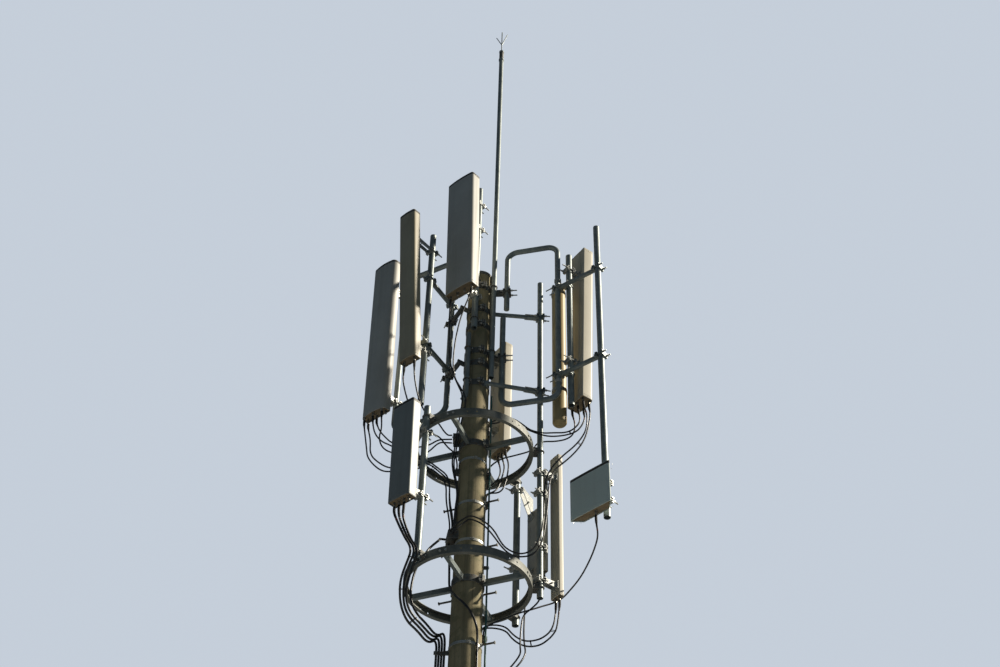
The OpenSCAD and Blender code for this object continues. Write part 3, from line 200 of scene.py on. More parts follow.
def tube(line, radius, sides=12):
    """Round skin along a line: across the line's direction at each point, a circle of that radius,
    whose first spoke is carried from point to point without twist."""
    heading = unit(np.gradient(line, axis=0))
    spokes, spoke = [], np.array([0.31, 0.95, 0.02])
    for d in heading:
        spoke = unit(spoke - (spoke @ d) * d)
        spokes.append(spoke)
    spokes = np.array(spokes)
    turn = 2 * np.pi * np.arange(sides)[:, None] / sides
    circles = np.cos(turn) * spokes[:, None] + np.sin(turn) * np.cross(heading, spokes)[:, None]
    return skin(line[:, None] + np.broadcast_to(radius, len(line))[:, None, None] * circles)


def joined(parts):
    """Several surfaces as one: their points in one list, and each one's faces counted on from there."""
    points, faces, start = [], [], 0
    for p, groups in parts:
        points.append(p)
        faces += [group + start for group in groups]
        start += len(p)
    return np.concatenate(points), faces


def install(name, mesh, finish, nodes, sharp):
    """Shades a mesh smooth but for edges sharper than an angle, gives it one finish, and lets it ride on
    the tower as an object of its own, in place of the CAD nodes that are named."""
    mesh.polygons.foreach_set("use_smooth", np.ones(len(mesh.polygons), bool))
    mesh.set_sharp_from_angle(angle=np.radians(sharp))
    mesh.materials.append(finish.material)
    made = bpy.data.objects.new(name, mesh)
    bpy.context.scene.collection.objects.link(made)
    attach(made, "root")
    if nodes:
        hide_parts(*nodes)


def piece(name, surface, finish, slot, *nodes):
    """Puts a surface into a mesh, as a piece of the tower in place of the CAD nodes that are named."""
    points, groups = surface
    sizes = np.concatenate([np.full(len(g), g.shape[1]) for g in groups])
    corners = np.concatenate([g.ravel() for g in groups])
    mesh = bpy.data.meshes.new(name)
    mesh.vertices.add(len(points))
    mesh.vertices.foreach_set("co", np.asarray(points, np.float32).ravel())
    mesh.loops.add(len(corners))
    mesh.loops.foreach_set("vertex_index", corners.astype(np.int32))
    mesh.polygons.add(len(sizes))
    mesh.polygons.foreach_set("loop_start", (np.cumsum(sizes) - sizes).astype(np.int32))
    mesh.update(calc_edges=True)
    install(name, mesh, finish, nodes, sharp=35)


def add(tree, kind, inputs=(), **settings):
    """A shader node: its settings, and each named input linked to a socket or set to a value."""
    node = tree.nodes.new(kind)
    for key, value in settings.items():
        setattr(node, key, value)
    for key, value in dict(inputs).items():
        if isinstance(value, bpy.types.NodeSocket):
            tree.links.new(value, node.inputs[key])
        else:
            node.inputs[key].default_value = value
    return node


def start_group(name, takes, gives):
    """An empty shader group with named inputs, vectors where no first value is given, and outputs."""
    tree = bpy.data.node_groups.new(name, "ShaderNodeTree")
    for label, value in takes.items():
        kind = "NodeSocketVector" if value is None else "NodeSocketFloat"
        socket = tree.interface.new_socket(name=label, in_out="INPUT", socket_type=kind)
        if value is not None:
            socket.default_value = value
    for label in gives:
        tree.interface.new_socket(name=label, in_out="OUTPUT", socket_type="NodeSocketFloat")
    return tree, add(tree, "NodeGroupInput").outputs, add(tree, "NodeGroupOutput").inputs


def math(tree, operation, a, b=0.0, clamp=False):
    """One sum on two sockets or values."""
    return add(tree, "ShaderNodeMath", {0: a, 1: b}, operation=operation, use_clamp=clamp).outputs[0]


def spread(tree, value, low, high, to_low=0.0, to_high=1.0):
    """A value brought from one span to another, and held inside it."""
    ends = {"Value": value, "From Min": low, "From Max": high, "To Min": to_low, "To Max": to_high}
    return add(tree, "ShaderNodeMapRange", ends).outputs[0]


def blend(tree, mask, a, b):
    """Two colours, sockets or red, green and blue, mixed by a mask."""
    a, b = (c if isinstance(c, bpy.types.NodeSocket) else (*c, 1) for c in (a, b))
    return add(tree, "ShaderNodeMix", {0: mask, 6: a, 7: b}, data_type="RGBA").outputs[2]


# mottle: patches of noise, drawn apart by the contrast
mottle, takes, gives = start_group("Mottle", {"Vector": None, "Scale": 10, "Contrast": 2}, ["Mask"])
patches = add(mottle, "ShaderNodeTexNoise", {"Vector": takes["Vector"], "Scale": takes["Scale"],
                                             "Detail": 5, "Roughness": 0.6})
risen = math(mottle, "MULTIPLY", math(mottle, "SUBTRACT", patches.outputs["Fac"], 0.5), takes["Contrast"])
mottle.links.new(math(mottle, "ADD", risen, 0.5, True), gives["Mask"])

# streaks: noise drawn out along the upright, as rain leaves it
streaks, takes, gives = start_group("Streaks", {"Vector": None, "Width": 0.03, "Height": 0.9,
                                                "Start": 0.5}, ["Mask"])
apart = add(streaks, "ShaderNodeSeparateXYZ", {"Vector": takes["Vector"]}).outputs
drawn = {axis: math(streaks, "DIVIDE", apart[axis], takes[size])
         for axis, size in (("X", "Width"), ("Y", "Width"), ("Z", "Height"))}
runs = add(streaks, "ShaderNodeTexNoise", {
    "Vector": add(streaks, "ShaderNodeCombineXYZ", drawn).outputs[0], "Scale": 1, "Detail": 4})
streaks.links.new(math(streaks, "MULTIPLY", math(streaks, "SUBTRACT", runs.outputs["Fac"], takes["Start"]),
                       4, True), gives["Mask"])

# dust: noise on what faces up
dust, takes, gives = start_group("Dust", {"Vector": None, "Amount": 0.5}, ["Mask"])
faced = add(dust, "ShaderNodeSeparateXYZ", {"Vector": add(dust, "ShaderNodeNewGeometry").outputs["Normal"]})
settled = add(dust, "ShaderNodeTexNoise", {"Vector": takes["Vector"], "Scale": 24, "Detail": 5})
lying = math(dust, "MULTIPLY", spread(dust, faced.outputs["Z"], 0.2, 0.95), settled.outputs["Fac"])
dust.links.new(math(dust, "MULTIPLY", lying, takes["Amount"], True), gives["Mask"])

# edge wear: how far a rounded corner's direction leaves the face's own, broken up by noise
edge_wear, takes, gives = start_group("Edge Wear", {"Vector": None, "Radius": 0.003, "Amount": 1}, ["Mask"])
round_normal = add(edge_wear, "ShaderNodeBevel", {"Radius": takes["Radius"]}, samples=4).outputs[0]
level_normal = add(edge_wear, "ShaderNodeNewGeometry").outputs["Normal"]
agree = add(edge_wear, "ShaderNodeVectorMath", {0: round_normal, 1: level_normal}, operation="DOT_PRODUCT")
rub = add(edge_wear, "ShaderNodeTexNoise", {"Vector": takes["Vector"], "Scale": 60, "Detail": 4})
bare = math(edge_wear, "MULTIPLY", math(edge_wear, "SUBTRACT", 1, agree.outputs["Value"]), takes["Amount"])
edge_wear.links.new(math(edge_wear, "MULTIPLY", math(edge_wear, "MULTIPLY", bare, 6),
                         spread(edge_wear, rub.outputs["Fac"], 0.35, 0.7), True), gives["Mask"])


class Finish:
    """A material built up in coats: two tones in patches, then further colours, each laid on by a mask.
    The masks lie on the object's coordinates; plain values go on the shader's own sockets."""

    def __init__(self, name, tones, scale, contrast, rough=None, metallic=0.0, **sockets):
        self.material = bpy.data.materials.new(name)
        self.material.use_nodes = True
        self.tree = self.material.node_tree
        self.shader = self.tree.nodes["Principled BSDF"]
        self.shader.inputs["Metallic"].default_value = metallic
        for key, value in sockets.items():
            self.shader.inputs[key.replace("_", " ")].default_value = value
        self.spot = add(self.tree, "ShaderNodeTexCoord").outputs["Object"]
        self.clouds, self.shade = self.mask(mottle, Scale=scale, Contrast=contrast), tones[0]
        self.coat(self.clouds, tones[1])
        if rough:
            self.roughen(self.clouds, *rough)

    def mask(self, group, **values):
        """A shader group's mask over the piece, with values of its own."""
        return add(self.tree, "ShaderNodeGroup", {"Vector": self.spot, **values},
                   node_tree=group).outputs["Mask"]

    def peaks(self, scale, contrast, start):
        """Only the part of a mottle that rises past a start."""
        return spread(self.tree, self.mask(mottle, Scale=scale, Contrast=contrast), start, 1)

    def coat(self, mask, colour, amount=None):
        """A colour laid over the shade so far, as strongly as the mask, or as the mask times an amount."""
        if amount is not None:
            mask = math(self.tree, "MULTIPLY", mask, amount)
        self.shade = blend(self.tree, mask, self.shade, colour)
        self.tree.links.new(self.shade, self.shader.inputs["Base Color"])

    def roughen(self, mask, low, high):
        """Roughness that goes from low to high with a mask."""
        self.tree.links.new(spread(self.tree, mask, 0, 1, low, high), self.shader.inputs["Roughness"])

    def relief(self, height, distance, strength=1.0):
        """Fine relief from a height, as deep as the distance."""
        bump = add(self.tree, "ShaderNodeBump", {"Height": height, "Distance": distance,
                                                 "Strength": strength})
        self.tree.links.new(bump.outputs[0], self.shader.inputs["Normal"])


jacket = Finish("cable_jacket", ((0.014, 0.014, 0.015), (0.04, 0.039, 0.037)), 18, 2.5, (0.3, 0.46),
                Specular_IOR_Level=0.55)
jacket.coat(jacket.mask(dust, Amount=0.7), (0.16, 0.15, 0.13))
grain = add(jacket.tree, "ShaderNodeTexNoise", {"Vector": jacket.spot, "Scale": 700, "Detail": 2})
jacket.relief(grain.outputs["Fac"], 0.0004)

lead_r, feeder_r = 0.0085, 0.012
cables = {name: [(cable_line(route), r) for route in routes] for name, routes, r in (
    ("wide_panel", WIDE_PANEL_ROUTES, lead_r), ("front_panel", FRONT_PANEL_ROUTES, lead_r),
    ("right_panel", RIGHT_PANEL_ROUTES, lead_r), ("back_panel", BACK_PANEL_ROUTES, lead_r),
    ("low_panel", LOW_PANEL_ROUTES, lead_r), ("feeder", FEEDER_ROUTES, feeder_r))}
for name, group in cables.items():
    piece(name + "_leads", joined([tube(line, r) for line, r in group]), jacket, "cable", name + "_cables")

# Boots on the cables. Where a lead meets its plug, a sleeve of shrunk rubber covers the coupling and
# tapers down to the jacket. One or two turns of coloured tape under it tell the leads apart.
rubber = Finish("boot_rubber", ((0.016, 0.016, 0.017), (0.045, 0.043, 0.04)), 40, 2, (0.5, 0.7),
                Specular_IOR_Level=0.3)
ribs = add(rubber.tree, "ShaderNodeTexWave", {"Vector": rubber.spot, "Scale": 55, "Distortion": 1.5},
           bands_direction="Z")
rubber.relief(ribs.outputs["Fac"], 0.0008)

plugged = {**cables, "feeder": cables["feeder"][:3]}
# distances down the lead at which a boot's radius is given; where the tape starts, its step and thickness
down = np.array([0, 0.004, 0.05, 0.075, 0.1, 0.128, 0.13])
tape_from, tape_step, tape_t = 0.15, 0.022, 0.0009
boots, wraps = [], ([], [])
for group in plugged.values():
    for k, (line, r) in enumerate(group):
        taper = np.array([0.0118, 0.0145, 0.0145, 0.0138, r + 0.0016, r + 0.001, r])
        boots.append(tube(along_line(line, down), taper, 16))
        for turn in range(1 + k % 2):
            ends = tape_from + tape_step * turn + np.array([0, 0.001, 0.014, 0.015])
            wraps[k % 2].append(tube(along_line(line, ends), r + np.array([0, tape_t, tape_t, 0]), 14))
piece("cable_boots", joined(boots), rubber, "cable")
for name, colour, turns in (("red_tape", (0.28, 0.045, 0.03), wraps[0]),
                            ("white_tape", (0.62, 0.6, 0.55), wraps[1])):
    tape = Finish(name, (colour, tuple(0.6 * c for c in colour)), 90, 2, Roughness=0.45)
    tape.relief(tape.clouds, 0.0005)
    piece(name + "_wraps", joined(turns), tape, "cable")

# Cable ties. Black straps draw neighbouring leads together where they hang side by side. Each is a flat
# band drawn tight round its leads.
def band_round(group, places):
    """Belt round parallel leads: in the plane across them, points all round every lead's circle, and of
    these the outline that a string drawn tight would touch, carried up the leads by the belt's width."""
    half, thick, sunk = 0.004, 0.0012, 0.0003
    centres = np.array([along_line(line, [s])[0] for (line, _), s in zip(group, places)])
    heading = unit(np.diff(along_line(group[0][0], [places[0] - 0.01, places[0] + 0.01]), axis=0)[0])
    across = unit(np.cross(heading, [0.2, 0.1, 1.0] if abs(heading[2]) < 0.9 else [0.0, 1.0, 0.1]))
    other = np.cross(heading, across)
    flat = np.stack([(centres - centres[0]) @ across, (centres - centres[0]) @ other], 1)
    look = np.linspace(0, 2 * np.pi, 48, endpoint=False)
    spokes = np.stack([np.cos(look), np.sin(look)], 1)
    normals = np.stack([-np.sin(look), np.cos(look)], 1)
    support = (flat @ spokes.T + np.array([[r] for _, r in group])).max(0)
    turned = np.gradient(np.concatenate([support[-2:], support, support[:2]]), look[1])[2:-2]
    rim = support[:, None] * spokes + turned[:, None] * normals
    rows = [(rim + off * spokes, h) for off, h in
            ((sunk, -half), (thick, -half), (thick, half), (sunk, half))]
    return skin(np.array([centres[0] + p[:, :1] * across + p[:, 1:] * other + h * heading
                          for p, h in rows]), open_tube=True)


def nearest(line, point, s):
    """Distance along a line at which it comes closest to a point, looked for a little before and after."""
    tries = np.arange(s - 0.25, s + 0.25, 0.005)
    return tries[np.linalg.norm(along_line(line, tries) - point, axis=1).argmin()]


belts = [band_round(plugged["feeder"], [s] * 3) for s in (0.3, 0.62, 0.95, 1.3)]
# whose leads, which of them, and how far down the first of them each tie sits
for name, bundle, stations in (("wide_panel", (0, 1, 2), (1.2, 1.55, 1.8)),
                               ("front_panel", (0, 1), (1.6, 2.0)),
                               ("right_panel", (3, 4), (0.62, 0.95, 1.28, 1.7, 2.1)),
                               ("right_panel", (0, 1), (0.45, 0.8)),
                               ("low_panel", (1, 2), (0.35, 0.6))):
    group = [cables[name][k] for k in bundle]
    for s in stations:
        point = along_line(group[0][0], [s])[0]
        belts.append(band_round(group, [s] + [nearest(line, point, s) for line, _ in group[1:]]))
piece("cable_ties", joined(belts), rubber, "cable")

# Pole. One tapered tube of spun concrete with a smooth skin. The mould leaves a fine raised line down two
# opposite sides and small air holes; rain has left dark and pale runs on it.
pole_top, pole_foot_r, pole_head_r = 14.5, 0.202, 0.136


def below(drop):
    """Height of what hangs that far below the pole's head."""
    return pole_top - drop


def pole_r(z):
    """Radius of the pole at a height: straight from foot to head."""
    return pole_foot_r + (pole_head_r - pole_foot_r) * z / pole_top


def lathe(profile, sides=24, open_tube=False):
    """Profile of radii and heights turned round the upright axis; a closed profile runs round a wall."""
    r, z = np.array(profile, float).T[:, :, None]
    turn = 2 * np.pi * np.arange(sides) / sides
    return skin(np.stack(np.broadcast_arrays(r * np.cos(turn), r * np.sin(turn), z), -1), open_tube)


concrete = Finish("spun_concrete", ((0.26, 0.215, 0.12), (0.38, 0.32, 0.19)), 3.2, 2.2,
                  Specular_IOR_Level=0.25)
sand = concrete.mask(mottle, Scale=160, Contrast=2.6)
concrete.coat(sand, (0.46, 0.4, 0.26), 0.3)
concrete.coat(concrete.mask(streaks, Width=0.035, Height=2.4, Start=0.52), (0.075, 0.072, 0.052), 0.6)
concrete.coat(concrete.mask(streaks, Width=0.012, Height=1.3, Start=0.62), (0.54, 0.49, 0.36), 0.4)
concrete.coat(concrete.peaks(9, 5, 0.7), (0.12, 0.14, 0.07), 0.3)
# the air holes are painted dark, as painted shade inside them; the relief also sinks them
cells = add(concrete.tree, "ShaderNodeTexVoronoi", {"Vector": concrete.spot, "Scale": 70})
holes = spread(concrete.tree, cells.outputs["Distance"], 0.08, 0.16, 1, 0)
concrete.coat(holes, (0.09, 0.085, 0.07), 0.6)
concrete.roughen(sand, 0.72, 0.92)
concrete.relief(math(concrete.tree, "SUBTRACT", math(concrete.tree, "MULTIPLY", sand, 0.4), holes), 0.0015)

# the pole's skin: the taper's radius at each level, less where the edges are broken, plus a low bell curve
# round the azimuth of each mould line
mould, mould_rise, mould_wide, broken = np.radians([20, 200]), 0.0014, np.radians(0.7), 0.006
turn = np.linspace(0, 2 * np.pi, 96, endpoint=False)
turn = np.sort(np.concatenate([turn, *(m + np.radians([-1.2, -0.5, 0.5, 1.2]) for m in mould)]))
line_rise = sum(mould_rise * np.exp(-((turn - m) / mould_wide) ** 2) for m in mould)
edges = [0, 0.012, pole_top - 0.008, pole_top]
levels = np.concatenate([edges[:2], np.linspace(0.2, pole_top - 0.2, 60), edges[2:]])
radii = (pole_r(levels) - np.interp(levels, edges, [broken, 0, 0, broken]))[:, None] + line_rise
shell = np.stack([radii * np.cos(turn), radii * np.sin(turn), levels[:, None] + 0 * radii], -1)
piece("spun_pole", skin(shell), concrete, "concrete", "pole")

# Galvanised finish of pipes and frames. Zinc spangle in small grains, dulled to a grey-green by the weather,
# with dark runs below the joints and a thin film of dirt on top. The rings have a darker, duller zinc.
def galvanising(name, dull, light, spangle, worn, metallic, rough):
    """Zinc between a dull and a light tone, with grains, dark runs, settled dirt and bare edges."""
    coating = Finish(name, (dull, light), 7, 2.4, metallic=metallic, Specular_IOR_Level=0.5)
    grains = add(coating.tree, "ShaderNodeTexVoronoi", {"Vector": coating.spot, "Scale": 110})
    tone = add(coating.tree, "ShaderNodeSeparateColor", {"Color": grains.outputs["Color"]}).outputs[0]
    coating.coat(tone, spangle, 0.16)
    runs = coating.mask(streaks, Width=0.01, Height=0.5, Start=0.56)
    coating.coat(runs, tuple(0.5 * c for c in dull), 0.35)
    film = coating.mask(dust, Amount=0.6)
    coating.coat(film, (0.26, 0.235, 0.18))
    coating.coat(coating.mask(edge_wear, Radius=0.003, Amount=0.8), worn)
    gloss = spread(coating.tree, tone, 0, 1, rough, rough + 0.12)
    dulled = math(coating.tree, "ADD", gloss, math(coating.tree, "MULTIPLY", film, 0.3), True)
    coating.tree.links.new(dulled, coating.shader.inputs["Roughness"])
    fine = coating.mask(mottle, Scale=220, Contrast=1.6)
    raised = math(coating.tree, "ADD", fine, math(coating.tree, "MULTIPLY", runs, 0.5))
    coating.relief(raised, 0.0004)
    return coating


zinc = galvanising("weathered_zinc", (0.15, 0.183, 0.18), (0.3, 0.338, 0.325), (0.48, 0.51, 0.49),
                   (0.55, 0.57, 0.55), 0.3, 0.38)
ring_zinc = galvanising("old_ring_zinc", (0.105, 0.11, 0.095), (0.23, 0.235, 0.205), (0.36, 0.37, 0.33),
                        (0.5, 0.51, 0.47), 0.15, 0.55)
pale_zinc = galvanising("pale_zinc", (0.24, 0.25, 0.235), (0.52, 0.53, 0.5), (0.66, 0.67, 0.64),
                        (0.72, 0.73, 0.7), 0.3, 0.36)

# Clamp steel. Cast and pressed clamps, bands and arms, galvanised by dipping. Their zinc has gone dark with
# age, with specks of rust, and the corners are rubbed bright.
dark_zinc = Finish("dark_clamp_zinc", ((0.08, 0.084, 0.078), (0.17, 0.178, 0.165)), 22, 2.4, (0.5, 0.72),
                   metallic=0.3, Specular_IOR_Level=0.45)
dark_zinc.coat(dark_zinc.peaks(35, 6, 0.75), (0.16, 0.085, 0.04), 0.45)
dark_zinc.coat(dark_zinc.mask(dust, Amount=0.7), (0.3, 0.27, 0.21))
dark_zinc.coat(dark_zinc.mask(edge_wear, Radius=0.004, Amount=1), (0.55, 0.56, 0.53))
dark_zinc.relief(dark_zinc.mask(mottle, Scale=180, Contrast=2), 0.0006)

# Bright steel. Nuts, washers, threads and U-bolts, which were put on last and still shine, with a little
# rust. The two rods of a pipe clamp pass on either side of the pipe, through its two jaws.
bright_zinc = Finish("bright_fastener_zinc", ((0.42, 0.43, 0.4), (0.7, 0.71, 0.68)), 60, 2.2, (0.3, 0.5),
                     metallic=0.6)
bright_zinc.coat(bright_zinc.peaks(90, 6, 0.8), (0.25, 0.14, 0.07), 0.4)
bright_zinc.relief(bright_zinc.mask(mottle, Scale=400, Contrast=1.5), 0.0003)

# a clamp's rods and the thickness of its jaws past the pipe; its nuts, washers and threads, and the reach
# past which a rod has a second nut
rod_d, jaw_t = 0.014, 0.014
nut_across, nut_high, washer_wide, washer_t = 0.022, 0.0112, 0.028, 0.0025
thread_d, thread_pitch, long_reach = 0.0152, 0.004, 0.045


def at_azimuth(r, a, z=None):
    """Points from radius, azimuth in degrees and height; without a height, points in plan."""
    a = np.radians(a)
    flat = (r * np.cos(a), r * np.sin(a))
    return np.array(flat) if z is None else np.stack(np.broadcast_arrays(*flat, z), -1)


def aim(at, along=(0, 0, 1), turn=0.0):
    """Places, three rows by four: the third column points along, the first lies level and is turned."""
    at, along = (np.atleast_2d(np.asarray(v, float)) for v in (at, along))
    at, z = np.broadcast_arrays(at, unit(along))
    flat = np.abs(z[:, 2:]) > 0.999
    x = unit(np.where(flat, [1.0, 0, 0], np.cross(z, [0, 0, 1]) + flat * [1.0, 0, 0]))
    y = np.cross(z, x)
    turn = np.broadcast_to(turn, len(at))[:, None]
    return np.stack([np.cos(turn) * x + np.sin(turn) * y, np.cos(turn) * y - np.sin(turn) * x, z, at], -1)


def copies(surface, places):
    """One surface put at every place, all as one."""
    points, groups = surface
    moved = np.einsum("mij,nj->mni", places[:, :, :3], points) + places[:, None, :, 3]
    shift = (np.arange(len(places)) * len(points))[:, None, None]
    return moved.reshape(-1, 3), [(group[None] + shift).reshape(-1, group.shape[1]) for group in groups]


def nut(across, high):
    """Hexagon nut or bolt head on the XY plane, its lower and upper corners cut by a cone."""
    r = across / np.sqrt(3)
    return lathe([(r * 0.86, 0), (r, high * 0.12), (r, high * 0.86), (r * 0.86, high)], 6)


def washer(wide, thick):
    """Flat washer on the XY plane with a broken outer edge."""
    r, c = wide / 2, 0.0004
    return lathe([(r - c, 0), (r, 0.0005), (r, thick - 0.0005), (r - c, thick)], 18)


def thread(d, long, pitch):
    """Thread as rings: the radius goes up and down once for each pitch; both ends are cut back."""
    z = np.arange(0, long + pitch / 4, pitch / 2)
    r = d / 2 + np.where(np.arange(len(z)) % 2, 0.0002, -0.0007)
    r[0] = r[-1] = d / 2 - 0.0014
    return lathe(np.stack([r, z], 1), 12)


def clamp_hardware(name, clamps, *more):
    """Nuts, washers and threads of the two rods of each clamp, given by its pipe's place, height, the
    rods' azimuth, the pipe's diameter and how far the rods reach past it in front and behind. A rod that
    reaches far has a second nut."""
    p, z, a, d, front, back = (np.array(column, float) for column in zip(*clamps))
    rods, across = at_azimuth(1, a, 0.0), at_azimuth(1, a + 90, 0.0)
    nuts, washers, threads = [], [], []
    for side in (-1, 1):
        line = np.column_stack([p, z]) + side * across * (d[:, None] + rod_d) / 2
        for out, reach in ((rods, front), (-rods, back)):
            face = line + out * (d[:, None] / 2 + jaw_t)
            washers.append(aim(face, out, side))
            nuts.append(aim(face + out * washer_t, out, 1.7 * side + 0.37 * np.arange(len(p))))
            for k in range(len(p)):
                if reach[k] > long_reach:
                    nuts.append(aim(face[k] + out[k] * (washer_t + nut_high + 0.0005), out[k], 0.9 * k))
                threads.append(copies(thread(thread_d, reach[k] - jaw_t, thread_pitch),
                                      aim(face[k], out[k])))
    piece(name, joined([copies(nut(nut_across, nut_high), np.concatenate(nuts)),
                        copies(washer(washer_wide, washer_t), np.concatenate(washers)), *threads, *more]),
          bright_zinc, "galvanised")


def through_bolts(at, along, grip, size):
    """Hexagon bolt through a joint as thick as the grip: a head and washer on one side, a washer, a nut
    and a short threaded end on the other, and the plain shank between."""
    at, along = np.atleast_2d(at), unit(np.atleast_2d(np.asarray(along, float)))
    far, near = at + along * grip / 2, at - along * grip / 2
    disc_t = 0.003
    disc = washer(1.9 * size, disc_t)
    shank = lathe([(size / 2, -grip / 2), (size / 2, grip / 2)], 12)
    return joined([copies(disc, aim(far, along)), copies(disc, aim(near, -along)),
                   copies(nut(1.5 * size, 0.62 * size), aim(far + along * disc_t, along)),
                   copies(nut(1.5 * size, 0.8 * size), aim(near - along * disc_t, -along, 0.4)),
                   copies(thread(size, 1.3 * size + 0.008, 0.003), aim(near, -along)),
                   copies(shank, aim(at, along))])


def ear_bolts(heights, ways, drop, off, apart, size):
    """Bolts through the ears of a split band on the pole: at each side that it parts, one above and one
    below its middle, level and across the gap, that far off the pole's surface at the band's foot."""
    grip = 0.036
    return [through_bolts(at_azimuth(pole_r(z - drop) + off, way, z + dz), at_azimuth(1, way + 90, 0.0),
                          grip, size) for z in heights for way in ways for dz in (-apart, apart)]


def carried(node, finish, sharp=32):
    """A CAD node's shape as a piece of its own: a copy with its loose triangles joined at their corners,
    flat faces made whole, and round ones shaded smooth."""
    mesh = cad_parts[node].data.copy()
    work = bmesh.new()
    work.from_mesh(mesh)
    bmesh.ops.remove_doubles(work, verts=work.verts, dist=2e-5)
    bmesh.ops.dissolve_limit(work, angle_limit=np.radians(0.3), verts=work.verts, edges=work.edges)
    work.to_mesh(mesh)
    work.free()
    mesh.name = node + "_shape"
    mesh.materials.clear()
    install(mesh.name, mesh, finish, [node], sharp)


# Cap of the pole. A pressed sheet lid with a rolled skirt sits over the concrete's edge and sheds the rain
# from the hollow head.
lid_r = pole_head_r + 0.009
# radii and rises past the pole's head, from the roll at the foot of the skirt to the middle of the top
lid_wall = [(lid_r - 0.0035, -0.045), (lid_r, -0.0435), (lid_r, -0.041), (lid_r - 0.002, -0.039),
            (lid_r - 0.002, -0.003), (lid_r - 0.004, 0.0015), (lid_r - 0.012, 0.004), (0.09, 0.007),
            (0.02, 0.008)]
piece("pole_lid", lathe([(r, pole_top + dz) for r, dz in lid_wall], 96), dark_zinc, "galvanised", "pole_cap")

# Straps on the pole. Thin steel bands drawn tight round the concrete, each with the folded ears of its
# screw on the right.
strap_z = below(np.array([5.19, 3.975, 3.49, 2.91]))
half, strap_t, edge = 0.015, 0.005, 0.0005
straps = [lathe([(pole_r(z - half) + edge, z - half), (pole_r(z - half) + strap_t, z - half + edge),
                 (pole_r(z - half) + strap_t, z + half - edge), (pole_r(z + half) + edge, z + half)], 96,
                True) for z in strap_z]
piece("strap_bands", joined(straps), pale_zinc, "galvanised", "pole_straps")
ear_way, ear_out, ear_apart = -57, 0.011, 0.009
ear = lathe([(0.017, -0.0015), (0.017, 0.0015)], 4)
tangent = at_azimuth(1, ear_way + 90, 0.0)
lugs = []
for z in strap_z:
    r = pole_r(z) + strap_t
    for off in (-ear_apart, ear_apart):
        at = at_azimuth(r + ear_out, ear_way, z) + off * tangent
        lugs.append(copies(ear, aim(at, tangent, np.pi / 4)))
    lugs.append(through_bolts(at_azimuth(r + ear_out + 0.001, ear_way, z), tangent, 0.021, 0.008))
piece("strap_screws", joined(lugs), bright_zinc, "galvanised")

# Climbing pegs. Round bars screwed into sockets in the pole, with an upset head at the outer end and a
# locking nut against the concrete.
carried("climbing_pegs", dark_zinc)
peg_r, peg_step, peg_drop, pegs = 0.01, 0.575, 3.44, np.arange(14)
peg_z = below(peg_drop) - peg_step * pegs
peg_seats = []
for way in (0, 180):
    face = at_azimuth(np.sqrt(pole_r(peg_z) ** 2 - peg_r ** 2), way, peg_z)
    out = at_azimuth(1, way, 0.0)
    peg_seats += [copies(washer(0.046, 0.004), aim(face - 0.001 * out, out)),
                  copies(nut(0.03, 0.015), aim(face + 0.003 * out, out, 0.5 * pegs))]
piece("peg_nuts", joined(peg_seats), bright_zinc, "galvanised")

# Bands round the head of the pole. Each is a pair of rolled half rings, drawn together by two bolts
# through the ears on either side.
band_drops = np.array([0.26, 0.64, 0.9, 1.32, 1.51, 1.81])
half_band, band_t = 0.04, 0.008
carried("head_bands", dark_zinc)
piece("band_bolts", joined(ear_bolts(below(band_drops), (130, 310), half_band, band_t + 0.026, 0.02, 0.014)),
      bright_zinc, "galvanised")

# Lightning rod. A galvanised pipe on the side of the pole's head; the tip carries a ribbed insulator
# between two collars, a pointed middle prong and two spread ones.
def open_pipe(at, low, high, d, wall=0.005):
    """Upright pipe: its wall's section, with broken edges, turned round its axis."""
    r, c = d / 2, 0.0008
    section = [(r - wall, low + c), (r - wall + c, low), (r - c, low), (r, low + c), (r, high - c),
               (r - c, high), (r - wall + c, high), (r - wall, high - c)]
    points, faces = lathe(section, 40, True)
    return points + [*at, 0], faces


mast, mast_d, mast_top = at_azimuth(pole_head_r + 0.064, -12), 0.06, pole_top + 4.35
piece("mast_pipe", open_pipe(mast, below(1.72), mast_top, mast_d, 0.004), zinc, "galvanised",
      "lightning_mast")
insulator_r, shed_from, shed_step, shed_out = 0.027, 0.026, 0.0205, 0.004
sheds = [(insulator_r + shed_out * s, shed_from + shed_step * k + dz) for k in range(8)
         for dz, s in ((0, 0), (0.006, 1), (0.008, 1), (0.018, 0))]
carried("lightning_tip", zinc)
piece("insulator_sheds", copies(lathe(sheds, 32), aim([*mast, mast_top])), dark_zinc, "galvanised")
carried("lightning_clamps", dark_zinc)

# Earth conductor. A round line in a blue-green coat, held off the concrete every 1.2 m by a small block
# with a screw in its face.
line_coat = Finish("earth_line_coat", ((0.02, 0.1, 0.095), (0.06, 0.2, 0.18)), 12, 2.2, (0.4, 0.6),
                   Specular_IOR_Level=0.4)
line_coat.coat(line_coat.mask(streaks, Width=0.006, Height=0.3, Start=0.5), (0.34, 0.44, 0.4), 0.5)
line_way, line_off, line_r = 23, 0.034, 0.01
line_top, line_foot = (at_azimuth(pole_r(z) + line_off, line_way, z) for z in (below(1.9), 0.0))
stretch = line_foot + np.linspace(0, 1, 60)[:, None] * (line_top - line_foot)
piece("earth_line", tube(stretch, line_r, 18), line_coat, "conductor", "earth_wire")
carried("earth_stand_offs", dark_zinc)
block_z, block_out = np.arange(0.6, 12.5, 1.21), 0.048
screws = at_azimuth(pole_r(block_z) + block_out, line_way, block_z)
piece("earth_block_screws", copies(nut(0.013, 0.006), aim(screws, at_azimuth(1, line_way, 0.0), block_z)),
      bright_zinc, "galvanised")

